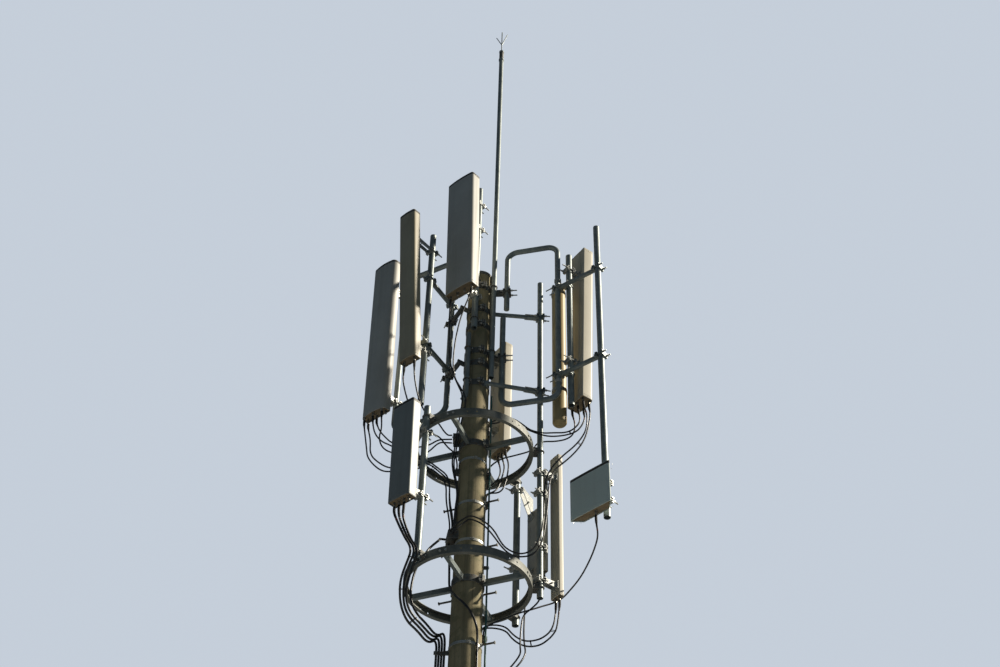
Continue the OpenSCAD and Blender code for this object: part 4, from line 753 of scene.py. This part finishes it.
# Rings. Two channels rolled to a circle and closed by a weld, with slots in pairs; four welded arms reach
# from a split hub on the pole to foot plates, each bolted to the web.
ring_r, ring_drops, bolt_side = 0.65, (4.45, 2.69), 0.031
for node, finish in (("ring_lower", ring_zinc), ("ring_upper", ring_zinc), ("ring_arms", zinc),
                     ("ring_hubs", dark_zinc)):
    carried(node, finish, sharp=25)
bolts = []
for z in below(np.array(ring_drops)):
    for a in (0, 90, 180, 270):
        for y in (-bolt_side, bolt_side):
            foot = at_azimuth(ring_r - 0.009, a, z) + y * at_azimuth(1, a + 90, 0.0)
            bolts.append(through_bolts(foot, at_azimuth(1, a, 0.0), 0.018, 0.014))
    bolts += ear_bolts([z], (158, 338), 0.038, 0.042, 0.021, 0.016)
piece("ring_bolts", joined(bolts), bright_zinc, "galvanised")
carried("ring_clamps", dark_zinc)

# Upright pipes. Plain galvanised pipes with open ends carry the panels; the ring clamps, stand-offs and
# outrigger bars hold them.
pipe_d, slim_d, bar_r, clamp_out = 0.073, 0.066, 0.028, 0.04
stand_left = at_azimuth(ring_r + clamp_out + pipe_d / 2, 249)
stand_right = at_azimuth(ring_r + clamp_out + slim_d / 2, 22)
stand_rear = at_azimuth(ring_r + clamp_out + pipe_d / 2, 69.5)
# the others' places in plan: distance and azimuth from the pole's axis, or from the pipe that holds them
right_reach, left_reach, right_way, left_way, outrigger_way = 0.62, 0.69, 8, 172, -15
right_inner = at_azimuth(pole_head_r + 0.188, 17)
right_outer = right_inner + at_azimuth(right_reach, right_way)
left_inner = at_azimuth(pole_head_r + 0.222, 180)
left_outer = left_inner + at_azimuth(left_reach, left_way)
outer_pipe = right_outer + at_azimuth(0.565, outrigger_way)
right_pipe = (right_outer + at_azimuth(0.115, outrigger_way)
              + at_azimuth(bar_r + band_t + pipe_d / 2, outrigger_way + 90))
narrow_pipe = left_inner + at_azimuth(0.5, 261)
head_pipe = at_azimuth(pole_head_r + 0.089, 280)
back_pipe = at_azimuth(pole_head_r + 0.114, 90)
stub_pipe, stub_d = at_azimuth(pole_head_r + 0.064, 260), 0.06
# node, place, diameter, and how far its foot and its head lie below the pole's
for node, at, d, foot, head in (
        ("stand_pipe_left", stand_left, pipe_d, 4.52, 2.55),
        ("stand_pipe_right", stand_right, slim_d, 4.57, 0.06),
        ("stand_pipe_rear", stand_rear, pipe_d, 4.55, 2.64),
        ("outer_pipe_right", outer_pipe, pipe_d, 3.94, -0.41),
        ("right_panel_pipe", right_pipe, pipe_d, 2.17, -0.24),
        ("narrow_panel_pipe", narrow_pipe, pipe_d, 2.3, -0.42),
        ("head_panel_pipe", head_pipe, pipe_d, 1.05, -1.4),
        ("back_panel_pipe", back_pipe, pipe_d, 2.3, 0.55)):
    piece(node.replace("pipe", "tube"), open_pipe(at, below(foot), below(head), d), zinc, "galvanised", node)
carried("bent_stub_pipe", zinc)
carried("pipe_stand_offs", dark_zinc)

# Bent frames. One galvanised tube each, bent with four round corners; arms, lugs and clamps tie their
# inner legs to the bands on the pole, and bars reach out from them to further pipes.
frame_high, frame_low, frame_r, bend_r = pole_top + 0.43, below(2.05), slim_d / 2, 0.13


def frame_path(reach, start, end, back=0.0):
    """Middle line of a frame in its own upright plane: up the inner leg from a start, a quarter circle at
    each corner, and up again to an end, which may stand back from the start."""
    inner, outer, top, foot = bend_r, reach - bend_r, frame_high - bend_r, frame_low + bend_r
    points = [[[0, 0, start]]]
    for x, z, turn in ((inner, top, 180), (outer, top, 90), (outer, foot, 0), (inner - back, foot, -90)):
        a = np.radians(turn - np.linspace(0, 90, 14))
        points.append(np.stack([x + bend_r * np.cos(a), 0 * a, z + bend_r * np.sin(a)], 1))
    return np.concatenate([*points, [[-back, 0, end]]])


def standing(p, face, gap=0.0, foot=0.0, tilt=0.0, aside=0.0):
    """Place of what stands by a pipe: turned to the azimuth that it faces, that far from the pipe and to
    the side, its foot at a height, leaning out at the top."""
    f, t = np.radians([face, tilt])
    spin = np.array([[np.cos(f), -np.sin(f), 0], [np.sin(f), np.cos(f), 0], [0, 0, 1]])
    lean = np.array([[np.cos(t), 0, np.sin(t)], [0, 1, 0], [-np.sin(t), 0, np.cos(t)]])
    return np.column_stack([spin @ lean, [*p, foot] + spin @ [gap, aside, 0]])[None]


for side, path, place in (
        ("right", frame_path(right_reach, below(0.54), below(0.68), 0.04), standing(right_inner, right_way)),
        ("left", frame_path(left_reach, below(1), below(1.0001)), standing(left_inner, left_way))):
    piece("bent_frame_" + side, copies(tube(path, frame_r, 36), place), zinc, "galvanised", "frame_" + side)
for node, finish, slot in (("frame_right_mounts", dark_zinc, "clamp_steel"),
                           ("frame_left_mounts", dark_zinc, "clamp_steel"),
                           ("outrigger_bars", zinc, "galvanised"), ("narrow_pipe_bars", zinc, "galvanised"),
                           ("tie_bars", zinc, "galvanised")):
    carried(node, finish)

# Nuts of the frames' clamps and U-bolts. Galvanised hexagon nuts on washers draw up every clamp, from the
# mounts on the pole out to the last pipe; the threads stand out past them.
def azimuth(p, q):
    """Azimuth in degrees of one point in plan seen from another."""
    return np.degrees(np.arctan2(q[1] - p[1], q[0] - p[0]))


# drops below the pole's head of each pair of arms or bars, and of the two tie bars with their azimuths
right_arms, left_arms, outriggers, narrow_bars = (0.26, 1.32), (0.64, 1.51), (0.31, 1.71), (0.35, 1.4)
ties = (0.64, 8), (1.81, -20)
lug = at_azimuth(pole_head_r + 0.1, 236)
narrow_way = azimuth(left_inner, narrow_pipe)
frame_clamps = []
for k, step in zip(right_arms, (0, 0.04)):
    p = right_inner - at_azimuth(step, right_way)
    frame_clamps.append((p, below(k), azimuth((0, 0), p), slim_d, 0.09, 0.05))
frame_clamps += [(left_inner, below(k), azimuth(left_inner, lug), slim_d, 0.07, 0.07) for k in left_arms]
for k in outriggers:
    frame_clamps += [(right_outer, below(k), outrigger_way, slim_d, 0.02, 0.11),
                     (outer_pipe, below(k), outrigger_way + 180, pipe_d, 0.02, 0.06)]
for k in narrow_bars:
    frame_clamps += [(left_inner, below(k), narrow_way, slim_d, 0.02, 0.06),
                     (narrow_pipe, below(k), narrow_way + 180, pipe_d, 0.02, 0.11)]
for k, way in ties:
    root = at_azimuth(pole_r(below(k) - half_band) + band_t + 0.025, way)
    frame_clamps.append((stand_right, below(k), azimuth(stand_right, root), slim_d, 0.15, 0.08))


def bow_ends(p, out, d, reach, drops):
    """Ends of the U-bolts round an upright pipe at each drop, and their direction: the two legs pass the
    pipe on either side and reach in past it, against the direction out."""
    side = np.array([-out[1], out[0], 0])
    return [(np.array([*p, below(k)]) + s * side * (d + rod_d) / 2 - out * reach, -out)
            for k in drops for s in (-1, 1)]


ends = []
for p, d, reach, drops in (
        (head_pipe, pipe_d, 0.024, (0.26, 0.9)), (back_pipe, pipe_d, 0.024, (0.9, 1.81)),
        (stub_pipe, stub_d, 0.02, (1.32, 1.81)), (mast, mast_d, 0.02, (0.26, 1.32)),
        (stand_left, pipe_d, 0.0615, ring_drops), (stand_right, slim_d, 0.058, ring_drops),
        (stand_rear, pipe_d, 0.0615, ring_drops)):
    ends += bow_ends(p, np.array([*p, 0]) / np.hypot(*p), d, reach, drops)
ends += bow_ends(right_pipe, at_azimuth(1, outrigger_way + 90, 0.0), pipe_d, 0.104, outriggers)
foot, way = (np.array(part) for part in zip(*ends))
clamp_hardware("frame_clamp_nuts", frame_clamps, copies(nut(nut_across, nut_high), aim(foot, way, 0.7)),
               copies(washer(washer_wide, washer_t), aim(foot - way * washer_t, way)),
               copies(thread(thread_d, 0.02, thread_pitch), aim(foot - way * 0.004, way)))

# Weld beads. Where a bar meets a clamp's back a ring of weld is laid round it by hand, with the ripple of
# the pass, and galvanised with the rest.
def bead(r):
    """Ring of weld on the XY plane: a half-round section whose height goes up and down round the ring."""
    fat, ripples, sunk = 0.0055, 22, 0.001
    turn = np.linspace(0, 2 * np.pi, 66, endpoint=False)
    tall = fat * (1 + 0.16 * np.sin(ripples * turn) + 0.1 * np.sin(3 * turn + r * 90))
    arc = np.linspace(-0.35, np.pi / 2 + 0.35, 7)[:, None]
    wide = r - sunk + tall * np.cos(arc)
    return skin(np.stack([wide * np.cos(turn), wide * np.sin(turn), tall * np.sin(arc) - sunk], -1))


near_end, far_end = 0.047, 0.0505
beads = []
for p, q, drops, welded in ((right_outer, outer_pipe, outriggers, 2),
                            (left_inner, narrow_pipe, narrow_bars, 2), (left_inner, lug, left_arms, 1)):
    along = unit(np.array([*(q - p), 0]))
    for k in drops:
        start, end = (np.array([*at, below(k)]) for at in (p, q))
        beads += [copies(bead(bar_r), aim(start + along * near_end, along)),
                  copies(bead(bar_r), aim(end - along * far_end, -along))][:welded]
piece("weld_beads", joined(beads), zinc, "galvanised")

# Panels. Each is a sector aerial in a moulded housing: a flat back with two grooves for its rail, a front
# that bows out a little, round front edges, a joint line near each end, a lid set in on top, and plugs on
# a sunk plate at the foot. Rain leaves dirt in runs.
def radome(name, light, dark, dirt):
    """The housing's plastic in a light and a dark tone, with its colour of dirt."""
    plastic = Finish(name, (light, dark), 2.6, 1.8, Specular_IOR_Level=0.35)
    runs = plastic.mask(streaks, Width=0.06, Height=2.2, Start=0.5)
    plastic.coat(runs, dirt, 0.18)
    plastic.coat(plastic.mask(streaks, Width=0.009, Height=0.5, Start=0.64), dirt, 0.3)
    plastic.coat(plastic.peaks(120, 5, 0.8), dirt, 0.15)
    plastic.coat(plastic.mask(dust, Amount=0.8), dirt)
    plastic.coat(plastic.mask(edge_wear, Radius=0.006, Amount=0.6), tuple(min(1, 1.15 * c) for c in light))
    plastic.roughen(runs, 0.42, 0.62)
    plastic.relief(plastic.mask(mottle, Scale=45, Contrast=1), 0.0006, 0.5)
    return plastic


grey_radome = radome("grey_radome", (0.55, 0.54, 0.49), (0.45, 0.435, 0.39), (0.25, 0.22, 0.165))
# the short panel's plastic is pale, but its housing is painted dark and cool all over: painted shade, on its
# lit faces too
slate_radome = radome("slate_radome", (0.28, 0.3, 0.285), (0.225, 0.24, 0.23), (0.15, 0.14, 0.115))
blue_radome = radome("blue_radome", (0.66, 0.76, 0.7), (0.6, 0.68, 0.63), (0.42, 0.41, 0.34))
cream_radome = radome("cream_radome", (0.6, 0.56, 0.455), (0.5, 0.46, 0.365), (0.32, 0.265, 0.18))
tan_radome = radome("tan_radome", (0.47, 0.42, 0.3), (0.37, 0.32, 0.22), (0.24, 0.185, 0.11))
yellow_radome = radome("yellow_radome", (0.51, 0.4, 0.2), (0.42, 0.32, 0.15), (0.28, 0.2, 0.1))
trim_plastic = Finish("trim_plastic", ((0.2, 0.15, 0.09), (0.34, 0.26, 0.16)), 14, 2, Roughness=0.55,
                      Specular_IOR_Level=0.35)
trim_plastic.relief(trim_plastic.mask(mottle, Scale=150, Contrast=1.4), 0.0005)
rim_plastic = Finish("rim_plastic", ((0.03, 0.028, 0.025), (0.075, 0.068, 0.056)), 20, 2, Roughness=0.5,
                     Specular_IOR_Level=0.4)
rim_plastic.coat(rim_plastic.mask(edge_wear, Radius=0.002, Amount=0.5), (0.22, 0.2, 0.16))
rim_plastic.relief(rim_plastic.mask(mottle, Scale=120, Contrast=1.4), 0.0004)
plug_metal = Finish("plug_metal", ((0.5, 0.49, 0.44), (0.28, 0.26, 0.22)), 70, 2, (0.28, 0.5), metallic=0.8)


def section(w, t, edge, bow, slope):
    """Outline of a panel from above, against the clock: along the right side, round a front corner, over
    the bowed front, round the other corner, and back along the grooved back. The sides slope in towards
    the back, in proportion to the depth, until the back is narrower by twice the slope."""
    q = np.linspace(0, np.pi / 2, 9)[:, None]
    front = t - bow - edge
    right = np.hstack([front + edge * np.sin(q), edge - w / 2 - edge * np.cos(q)])
    y = np.linspace(edge - w / 2, w / 2 - edge, 13)[1:-1, None]
    face = np.hstack([t - bow + bow * (1 - (y / (w / 2 - edge)) ** 2), y])
    left = np.hstack([front + edge * np.cos(q), w / 2 - edge + edge * np.sin(q)])
    b = min(0.012, 0.3 * t)
    back_left = np.hstack([b - b * np.sin(q), w / 2 - b + b * np.cos(q)])
    g, deep = 0.25 * w, 0.004
    rail = [(0, g + 0.009), (deep, g + 0.007), (deep, g - 0.007), (0, g - 0.009)]
    rail = np.array(rail + [(x, -y) for x, y in rail[::-1]])
    back_right = np.hstack([b - b * np.cos(q), b - w / 2 - b * np.sin(q)])
    outline = np.concatenate([right, face, left, back_left, rail, back_right])
    behind = np.clip(1 - outline[:, 0] / front, 0, 1)
    outline[:, 1] *= 1 - 2 * slope / w * behind
    return outline


def shrunk(outline, inset):
    """An outline moved inwards: each point against the outward direction of its neighbours' line."""
    t = np.roll(outline, -1, 0) - np.roll(outline, 1, 0)
    return outline - inset * unit(np.stack([t[:, 1], -t[:, 0]], 1))


def loft(outline, rows):
    """Skin through copies of an outline, each row a height, how far the outline moves inwards, and if it
    is then drawn to its middle, to what share of its size."""
    middle = (outline.max(0) + outline.min(0)) / 2
    points = []
    for z, inset, *drawn in rows:
        flat = middle + (shrunk(outline, inset) - middle) * (drawn[0] if drawn else 1)
        points.append(np.column_stack([flat, np.full(len(flat), z)]))
    return skin(np.array(points))


# pipe, azimuth faced, gap from the pipe's middle to the back, foot's drop, lean and sideways place
seats = {
    "front_panel": (head_pipe, 251, 0.175, 0.64, 2, 0),
    "narrow_panel": (narrow_pipe, 251, 0.165, 1.81, 5.2, 0),
    "wide_panel": (left_outer, 251, 0.21, 1.96, 1.4, -0.035),
    "short_panel": (stand_left, 251, 0.207, 3.96, 1.7, 0),
    "square_panel": (outer_pipe, 248, 0.062, 3.911, 0, -0.082),
    "right_panel": (right_pipe, 56, 0.076, 2.045, 1.9, 0.037),
    "back_panel": (back_pipe, 56, 0.18, 2.4, 0, 0.01),
    "slim_panel": (stand_right, 56, 0.185, 4.48, 0, 0),
    "thin_panel": (stand_right, 56, 0.08, 4.175, 0, 0.073),
    "small_panel": (stand_rear, 56, 0.18, 3.93, 0, -0.06),
}


def panel(name, w, t, h, edge, bow, finish, rim, plugs, rows=1, aside=0.0, slope=0.0):
    """Housing, lid rim, lid, foot plate, screws and plugs of one panel, in place of its CAD node. It is as
    wide, deep and high as w, t and h; edge is its corners' radius and bow how far its front bows out."""
    p, face, gap, foot, tilt, sideways = seats[name]
    place = standing(p, face, gap, below(foot), tilt, sideways)
    outline = section(w, t, edge, bow, slope)
    c, lid, joint = 0.0025, h - 0.01, h - 0.04
    # heights and insets: the wall from inside the foot past a joint line to the lid's rim, the rim, the lid
    # that is crowned at its top, and the plate sunk in the foot
    walls = [(0.014, 0.007), (0.001, 0.007), (0, 0.006), (0, c), (0.3 * c, 0.3 * c), (c, 0),
             (0.03, 0), (0.0305, 0.0018), (0.0335, 0.0018), (0.034, 0),
             (joint - 0.0015, 0), (joint - 0.0005, 0.001), (joint, 0.0025)]
    band = [(joint - 0.0002, 0.003), (joint + 0.0004, 0.001), (joint + 0.0014, 0),
            (lid - 0.002, 0), (lid - 0.0006, 0.0006), (lid, 0.002), (lid + 0.0002, 0.004)]
    top = [(lid - 0.001, 0.003), (h - 0.005, 0.003), (h - 0.0025, 0.0045), (h - 0.0012, 0.008),
           (h - 0.0005, 0.008, 0.8), (h, 0.008, 0.3)]
    floor = [(0.0128, 0.001), (0.0128, 0), (0.0139, 0)]
    piece(name + "_housing", copies(loft(outline, walls), place), finish, "radome", name)
    piece(name + "_lid_rim", copies(loft(outline, band), place), rim, "radome")
    piece(name + "_lid", copies(loft(outline, top), place), finish, "radome")
    piece(name + "_foot_plate", copies(loft(shrunk(outline, 0.0072), floor), place), trim_plastic, "radome")
    per_row, margin = plugs // rows, 0.045
    k = np.arange(plugs)
    y = aside + (k % per_row - (per_row - 1) / 2) * (w - 2 * margin) / max(per_row - 1, 1)
    x = t * (k // per_row + 0.5) / rows
    spots = aim(np.column_stack([x, y, 0 * x]), (0, 0, 1), 0.4 * k)
    barrel = lathe([(0.0105, -0.037), (0.0128, -0.036), (0.0128, -0.026), (0.0118, -0.025), (0.0118, -0.002),
                    (0.0122, 0.0), (0.0165, 0.008), (0.0165, 0.0127)], 20)
    points, faces = nut(0.0265, 0.019)
    head = lathe([(0.0042, -0.0005), (0.004, 0.0012), (0.0024, 0.0022)], 10)
    heights = (0.016, h - 0.031)
    screws = [aim((t * 0.45, s * w / 2, z), (0, s, 0)) for s in (-1, 1) for z in heights]
    screws += [aim((0.0, s * w * 0.4, z), (-1, 0, 0)) for s in (-1, 1) for z in heights]
    made = joined([copies(barrel, spots), copies((points - [0, 0, 0.024], faces), spots),
                   copies(head, np.concatenate(screws))])
    piece(name + "_plugs", copies(made, place), plug_metal, "galvanised")


# width, depth, height, corner radius, bow, finishes of housing and lid rim, number of plugs and their rows,
# and of the square panel how far the plug stands aside and how far the sides slope in
panel("front_panel", 0.41, 0.15, 1.915, 0.034, 0.01, grey_radome, rim_plastic, 4)
panel("narrow_panel", 0.24, 0.12, 2.26, 0.03, 0.006, tan_radome, rim_plastic, 2)
panel("wide_panel", 0.36, 0.13, 2.4, 0.06, 0.012, grey_radome, rim_plastic, 6, 2)
panel("short_panel", 0.285, 0.125, 1.24, 0.02, 0.004, slate_radome, rim_plastic, 4)
panel("square_panel", 0.524, 0.112, 0.524, 0.016, 0.003, blue_radome, rim_plastic, 1, 1, 0.035, 0.098)
panel("right_panel", 0.284, 0.165, 2.47, 0.04, 0.01, cream_radome, cream_radome, 6, 2)
panel("back_panel", 0.3, 0.13, 1.58, 0.036, 0.008, cream_radome, cream_radome, 4)
panel("slim_panel", 0.15, 0.07, 1.82, 0.018, 0.003, cream_radome, cream_radome, 2)
panel("thin_panel", 0.094, 0.05, 1.325, 0.014, 0.002, cream_radome, cream_radome, 1)
panel("small_panel", 0.24, 0.08, 0.9, 0.02, 0.004, grey_radome, grey_radome, 2)

# Round panel. A tube of glass fibre closed by a domed foot and a flat lid, strapped to the right frame's
# outer leg by two bands.
r, rise, round_h = 0.08, 0.027, 2.2
round_place = standing(right_outer, 107, slim_d / 2 + r + 0.047, below(2.31), 2)
q = np.linspace(0, np.pi / 2, 10)[1:]
dome = np.column_stack([(r - 0.0035) * np.sin(q), (rise - 0.0015) * (1 - np.cos(q))])
tube_wall = [(0.0005, 0), *dome, (r - 0.002, rise), (r, rise + 0.003)]
for joint in (rise + 0.0325, round_h - 0.0685):
    tube_wall += [(r, joint - 0.0015), (r - 0.0015, joint), (r - 0.0015, joint + 0.0025), (r, joint + 0.004)]
tube_wall += [(r, round_h - 0.008), (r - 0.003, round_h - 0.002), (0.05, round_h)]
piece("round_panel_tube", copies(lathe(tube_wall, 72), round_place), yellow_radome, "radome", "round_panel")
carried("round_panel_straps", pale_zinc)

# Tilt brackets. Folded arms from the clamp on the pipe to a plate on the panel's back, with a pivot bolt
# through the arms and four bolts through the plate.
def bracket_hardware(name, rows):
    """Clamp nuts, pivot bolts and plate bolts. Each row gives a panel, its pipe's diameter, the plates'
    sideways place and the rods' reach at the back, and then of each bracket the clamp's drop, and how far
    its plate hangs below it. The gap to the panel's back grows with the height by the slope of its lean."""
    plate_t, arms_from, arms_apart, bolt_y, bolt_z = 0.008, 0.07, 0.068, 0.044, 0.034
    clamps, bolts = [], []
    for held, d, aside, back, *brackets in rows:
        p, way, gap, foot, tilt, _ = seats[held]
        out, side = at_azimuth(1, way, 0.0), at_azimuth(1, way + 90, 0.0)
        slope = np.tan(np.radians(tilt))
        face = unit(np.array([*(-out[:2]), slope]))
        for drop, hang in brackets:
            clamps.append((p, below(drop), way, d, min(0.04, gap - d / 2 - plate_t), back))
            z = below(drop) - hang
            far = gap + (z - below(foot)) * slope
            middle = np.array([*p, z]) + side * aside
            if far - d / 2 > arms_from:
                pivot = middle + out * (d / 2 + jaw_t + far) / 2 + [0, 0, hang / 2]
                bolts.append(through_bolts(pivot, side, arms_apart, 0.012))
            for dy, dz in ((y, z) for y in (-bolt_y, bolt_y) for z in (-bolt_z, bolt_z)):
                at = middle + side * dy + out * (far - plate_t + dz * slope) + [0, 0, dz]
                bolts += [copies(washer(0.02, 0.002), aim(at, face)),
                          copies(nut(0.016, 0.0075), aim(at + face * 0.002, face, dz * 40 + dy * 9))]
    clamp_hardware(name, clamps, *bolts)


bracket_hardware("front_bracket_nuts", (
    ("front_panel", pipe_d, 0, 0.09, (-1.09, 0), (-0.64, 0)), ("front_panel", pipe_d, 0, 0.02, (0.53, 0)),
    ("narrow_panel", pipe_d, 0, 0.09, (-0.12, 0), (1.54, 0)),
    ("wide_panel", slim_d, 0, 0.09, (-0.1, 0), (1.63, 0)),
    ("short_panel", pipe_d, 0, 0.09, (2.9, 0), (3.755, 0)),
    ("square_panel", pipe_d, 0, 0.02, (3.5, 0)), ("square_panel", pipe_d, 0, 0.09, (3.72, 0))))
bracket_hardware("rear_bracket_nuts", (
    ("right_panel", pipe_d, 0, 0.09, (0.02, 0), (1.51, 0)),
    ("back_panel", pipe_d, 0.01, 0.015, (1.08, 0), (2.12, 0)),
    ("slim_panel", slim_d, -0.012, 0.04, (2.98, 0), (4.362, 0)),
    ("thin_panel", slim_d, 0.03, 0.06, (3.25, 0), (3.95, 0)),
    ("small_panel", pipe_d, -0.02, 0.09, (2.8, 0.295), (3.85, 0))))
for node in ("front_brackets", "rear_brackets"):
    carried(node, pale_zinc)

# Cleats and feeder bars. Blocks of two clamped halves take the leads' ends on the pole, and a bar every
# 1.2 m holds the row of feeders, with a saddle over each.
for node in ("cable_cleats", "feeder_clamps"):
    carried(node, dark_zinc)
feeder_way, saddle_r, saddle_half, screw_in = 205, 0.0135, 0.012, 0.014
row, across = at_azimuth(1, feeder_way, 0.0), at_azimuth(1, feeder_way - 90, 0.0)
a = np.linspace(-np.pi / 2, np.pi / 2, 9)
lip = saddle_r + 0.001
arch = np.concatenate([[[0, -lip]], saddle_r * np.stack([np.cos(a), np.sin(a)], 1), [[0, lip]]])
strip = np.concatenate([arch, arch[::-1] * 0.88])
saddles = []
bar_low, bar_step, bars = 0.85, 1.2, 8
for z in bar_low + bar_step * np.arange(bars):
    for off in (0.118, 0.092, 0.066, 0.04):
        flat = at_azimuth(pole_r(z) + off, feeder_way, z) - across * strip[:, :1] + row * strip[:, 1:]
        saddles.append(skin(np.array([flat - [0, 0, saddle_half], flat + [0, 0, saddle_half]])))
piece("feeder_saddles", joined(saddles), bright_zinc, "galvanised")
cleat_screws = []
# azimuth, top, height and width of each cleat, and how far its face stands off the pole
for way, top, high, wide, off in ((211, 10.66, 0.1, 0.17, 0.085), (200, 12.0, 0.09, 0.13, 0.078),
                                  (216, 11.5, 0.06, 0.06, 0.042), (46, 12.1, 0.07, 0.11, 0.042),
                                  (44, 11.5, 0.06, 0.056, 0.042), (62, 11.15, 0.06, 0.13, 0.042),
                                  (54, 9.5, 0.06, 0.15, 0.042), (54, 8.7, 0.06, 0.09, 0.042)):
    out, side = at_azimuth(1, way, 0.0), at_azimuth(1, way + 90, 0.0)
    for s in (-1, 1):
        at = at_azimuth(pole_r(top) + off, way, top - high / 2) + s * side * (wide / 2 - screw_in)
        cleat_screws += [copies(washer(0.018, 0.0018), aim(at, out)),
                         copies(nut(0.013, 0.007), aim(at + out * 0.0018, out, way))]
piece("cleat_screws", joined(cleat_screws), bright_zinc, "galvanised")

# Studio. A round pale floor, an even surround that lights the tower softly from all sides, and a lamp on
# the right, where the sun stood. It is made twice, so that the pole, the round panel and the pipes behind
# the panels on the right show a lit side, as they do in the photograph.
floor_r = 7
rim = np.linspace(0, 2 * np.pi, 96, endpoint=False)
floor_mesh = bpy.data.meshes.new("floor")
floor_mesh.from_pydata(np.stack([floor_r * np.cos(rim), floor_r * np.sin(rim), 0 * rim], 1).tolist(), [],
                       [range(96)])
floor = bpy.data.objects.new("floor", floor_mesh)
bpy.context.scene.collection.objects.link(floor)
pale = Finish("pale_floor", ((0.5, 0.49, 0.46), (0.54, 0.53, 0.5)), 0.6, 1, Roughness=0.9)
floor_mesh.materials.append(pale.material)
behind = ("spun_pole", "round_panel_tube", "stand_tube_right", "stand_tube_rear", "narrow_panel_tube",
          "small_panel_housing")
in_front = [name + part for name in ("right_panel", "slim_panel", "thin_panel", "front_panel")
            for part in ("_housing", "_lid", "_lid_rim")] + ["round_panel_tube"]


def chosen(name, pieces, state):
    """A set of pieces that a lamp is told to take in or to pass over."""
    group = bpy.data.collections.new(name)
    for entry in pieces:
        group.objects.link(bpy.data.objects[entry])
    for entry in group.collection_objects:
        entry.light_linking.link_state = state
    return group


lamp_azimuth, lamp_elevation, lamp_power, lamp_width, lamp_colour = 26, 36, 6.0, 3, (1.0, 0.92, 0.78)
toward = [*at_azimuth(np.cos(np.radians(lamp_elevation)), lamp_azimuth), np.sin(np.radians(lamp_elevation))]
for name, lit, passed in (("lamp", chosen("all_but_behind", behind, "EXCLUDE"), None),
                          ("lamp_behind", chosen("behind", behind, "INCLUDE"),
                           chosen("in_front", in_front, "EXCLUDE"))):
    lamp = bpy.data.objects.new(name, bpy.data.lights.new(name, "SUN"))
    bpy.context.scene.collection.objects.link(lamp)
    lamp.data.energy, lamp.data.angle, lamp.data.color = lamp_power, np.radians(lamp_width), lamp_colour
    lamp.matrix_world = Matrix(np.vstack([aim((0, 0, 20), toward)[0], [0, 0, 0, 1]]).tolist())
    lamp.light_linking.receiver_collection = lit
    lamp.light_linking.blocker_collection = passed
surround = bpy.data.worlds.new("surround")
bpy.context.scene.world = surround
surround.use_nodes = True
ambient, backdrop = (0.074, 0.096, 0.118), (0.56, 0.62, 0.7)
seen = add(surround.node_tree, "ShaderNodeLightPath").outputs["Is Camera Ray"]
surround.node_tree.links.new(blend(surround.node_tree, seen, ambient, backdrop),
                             surround.node_tree.nodes["Background"].inputs["Color"])
bpy.context.scene.view_settings.view_transform = "Standard"
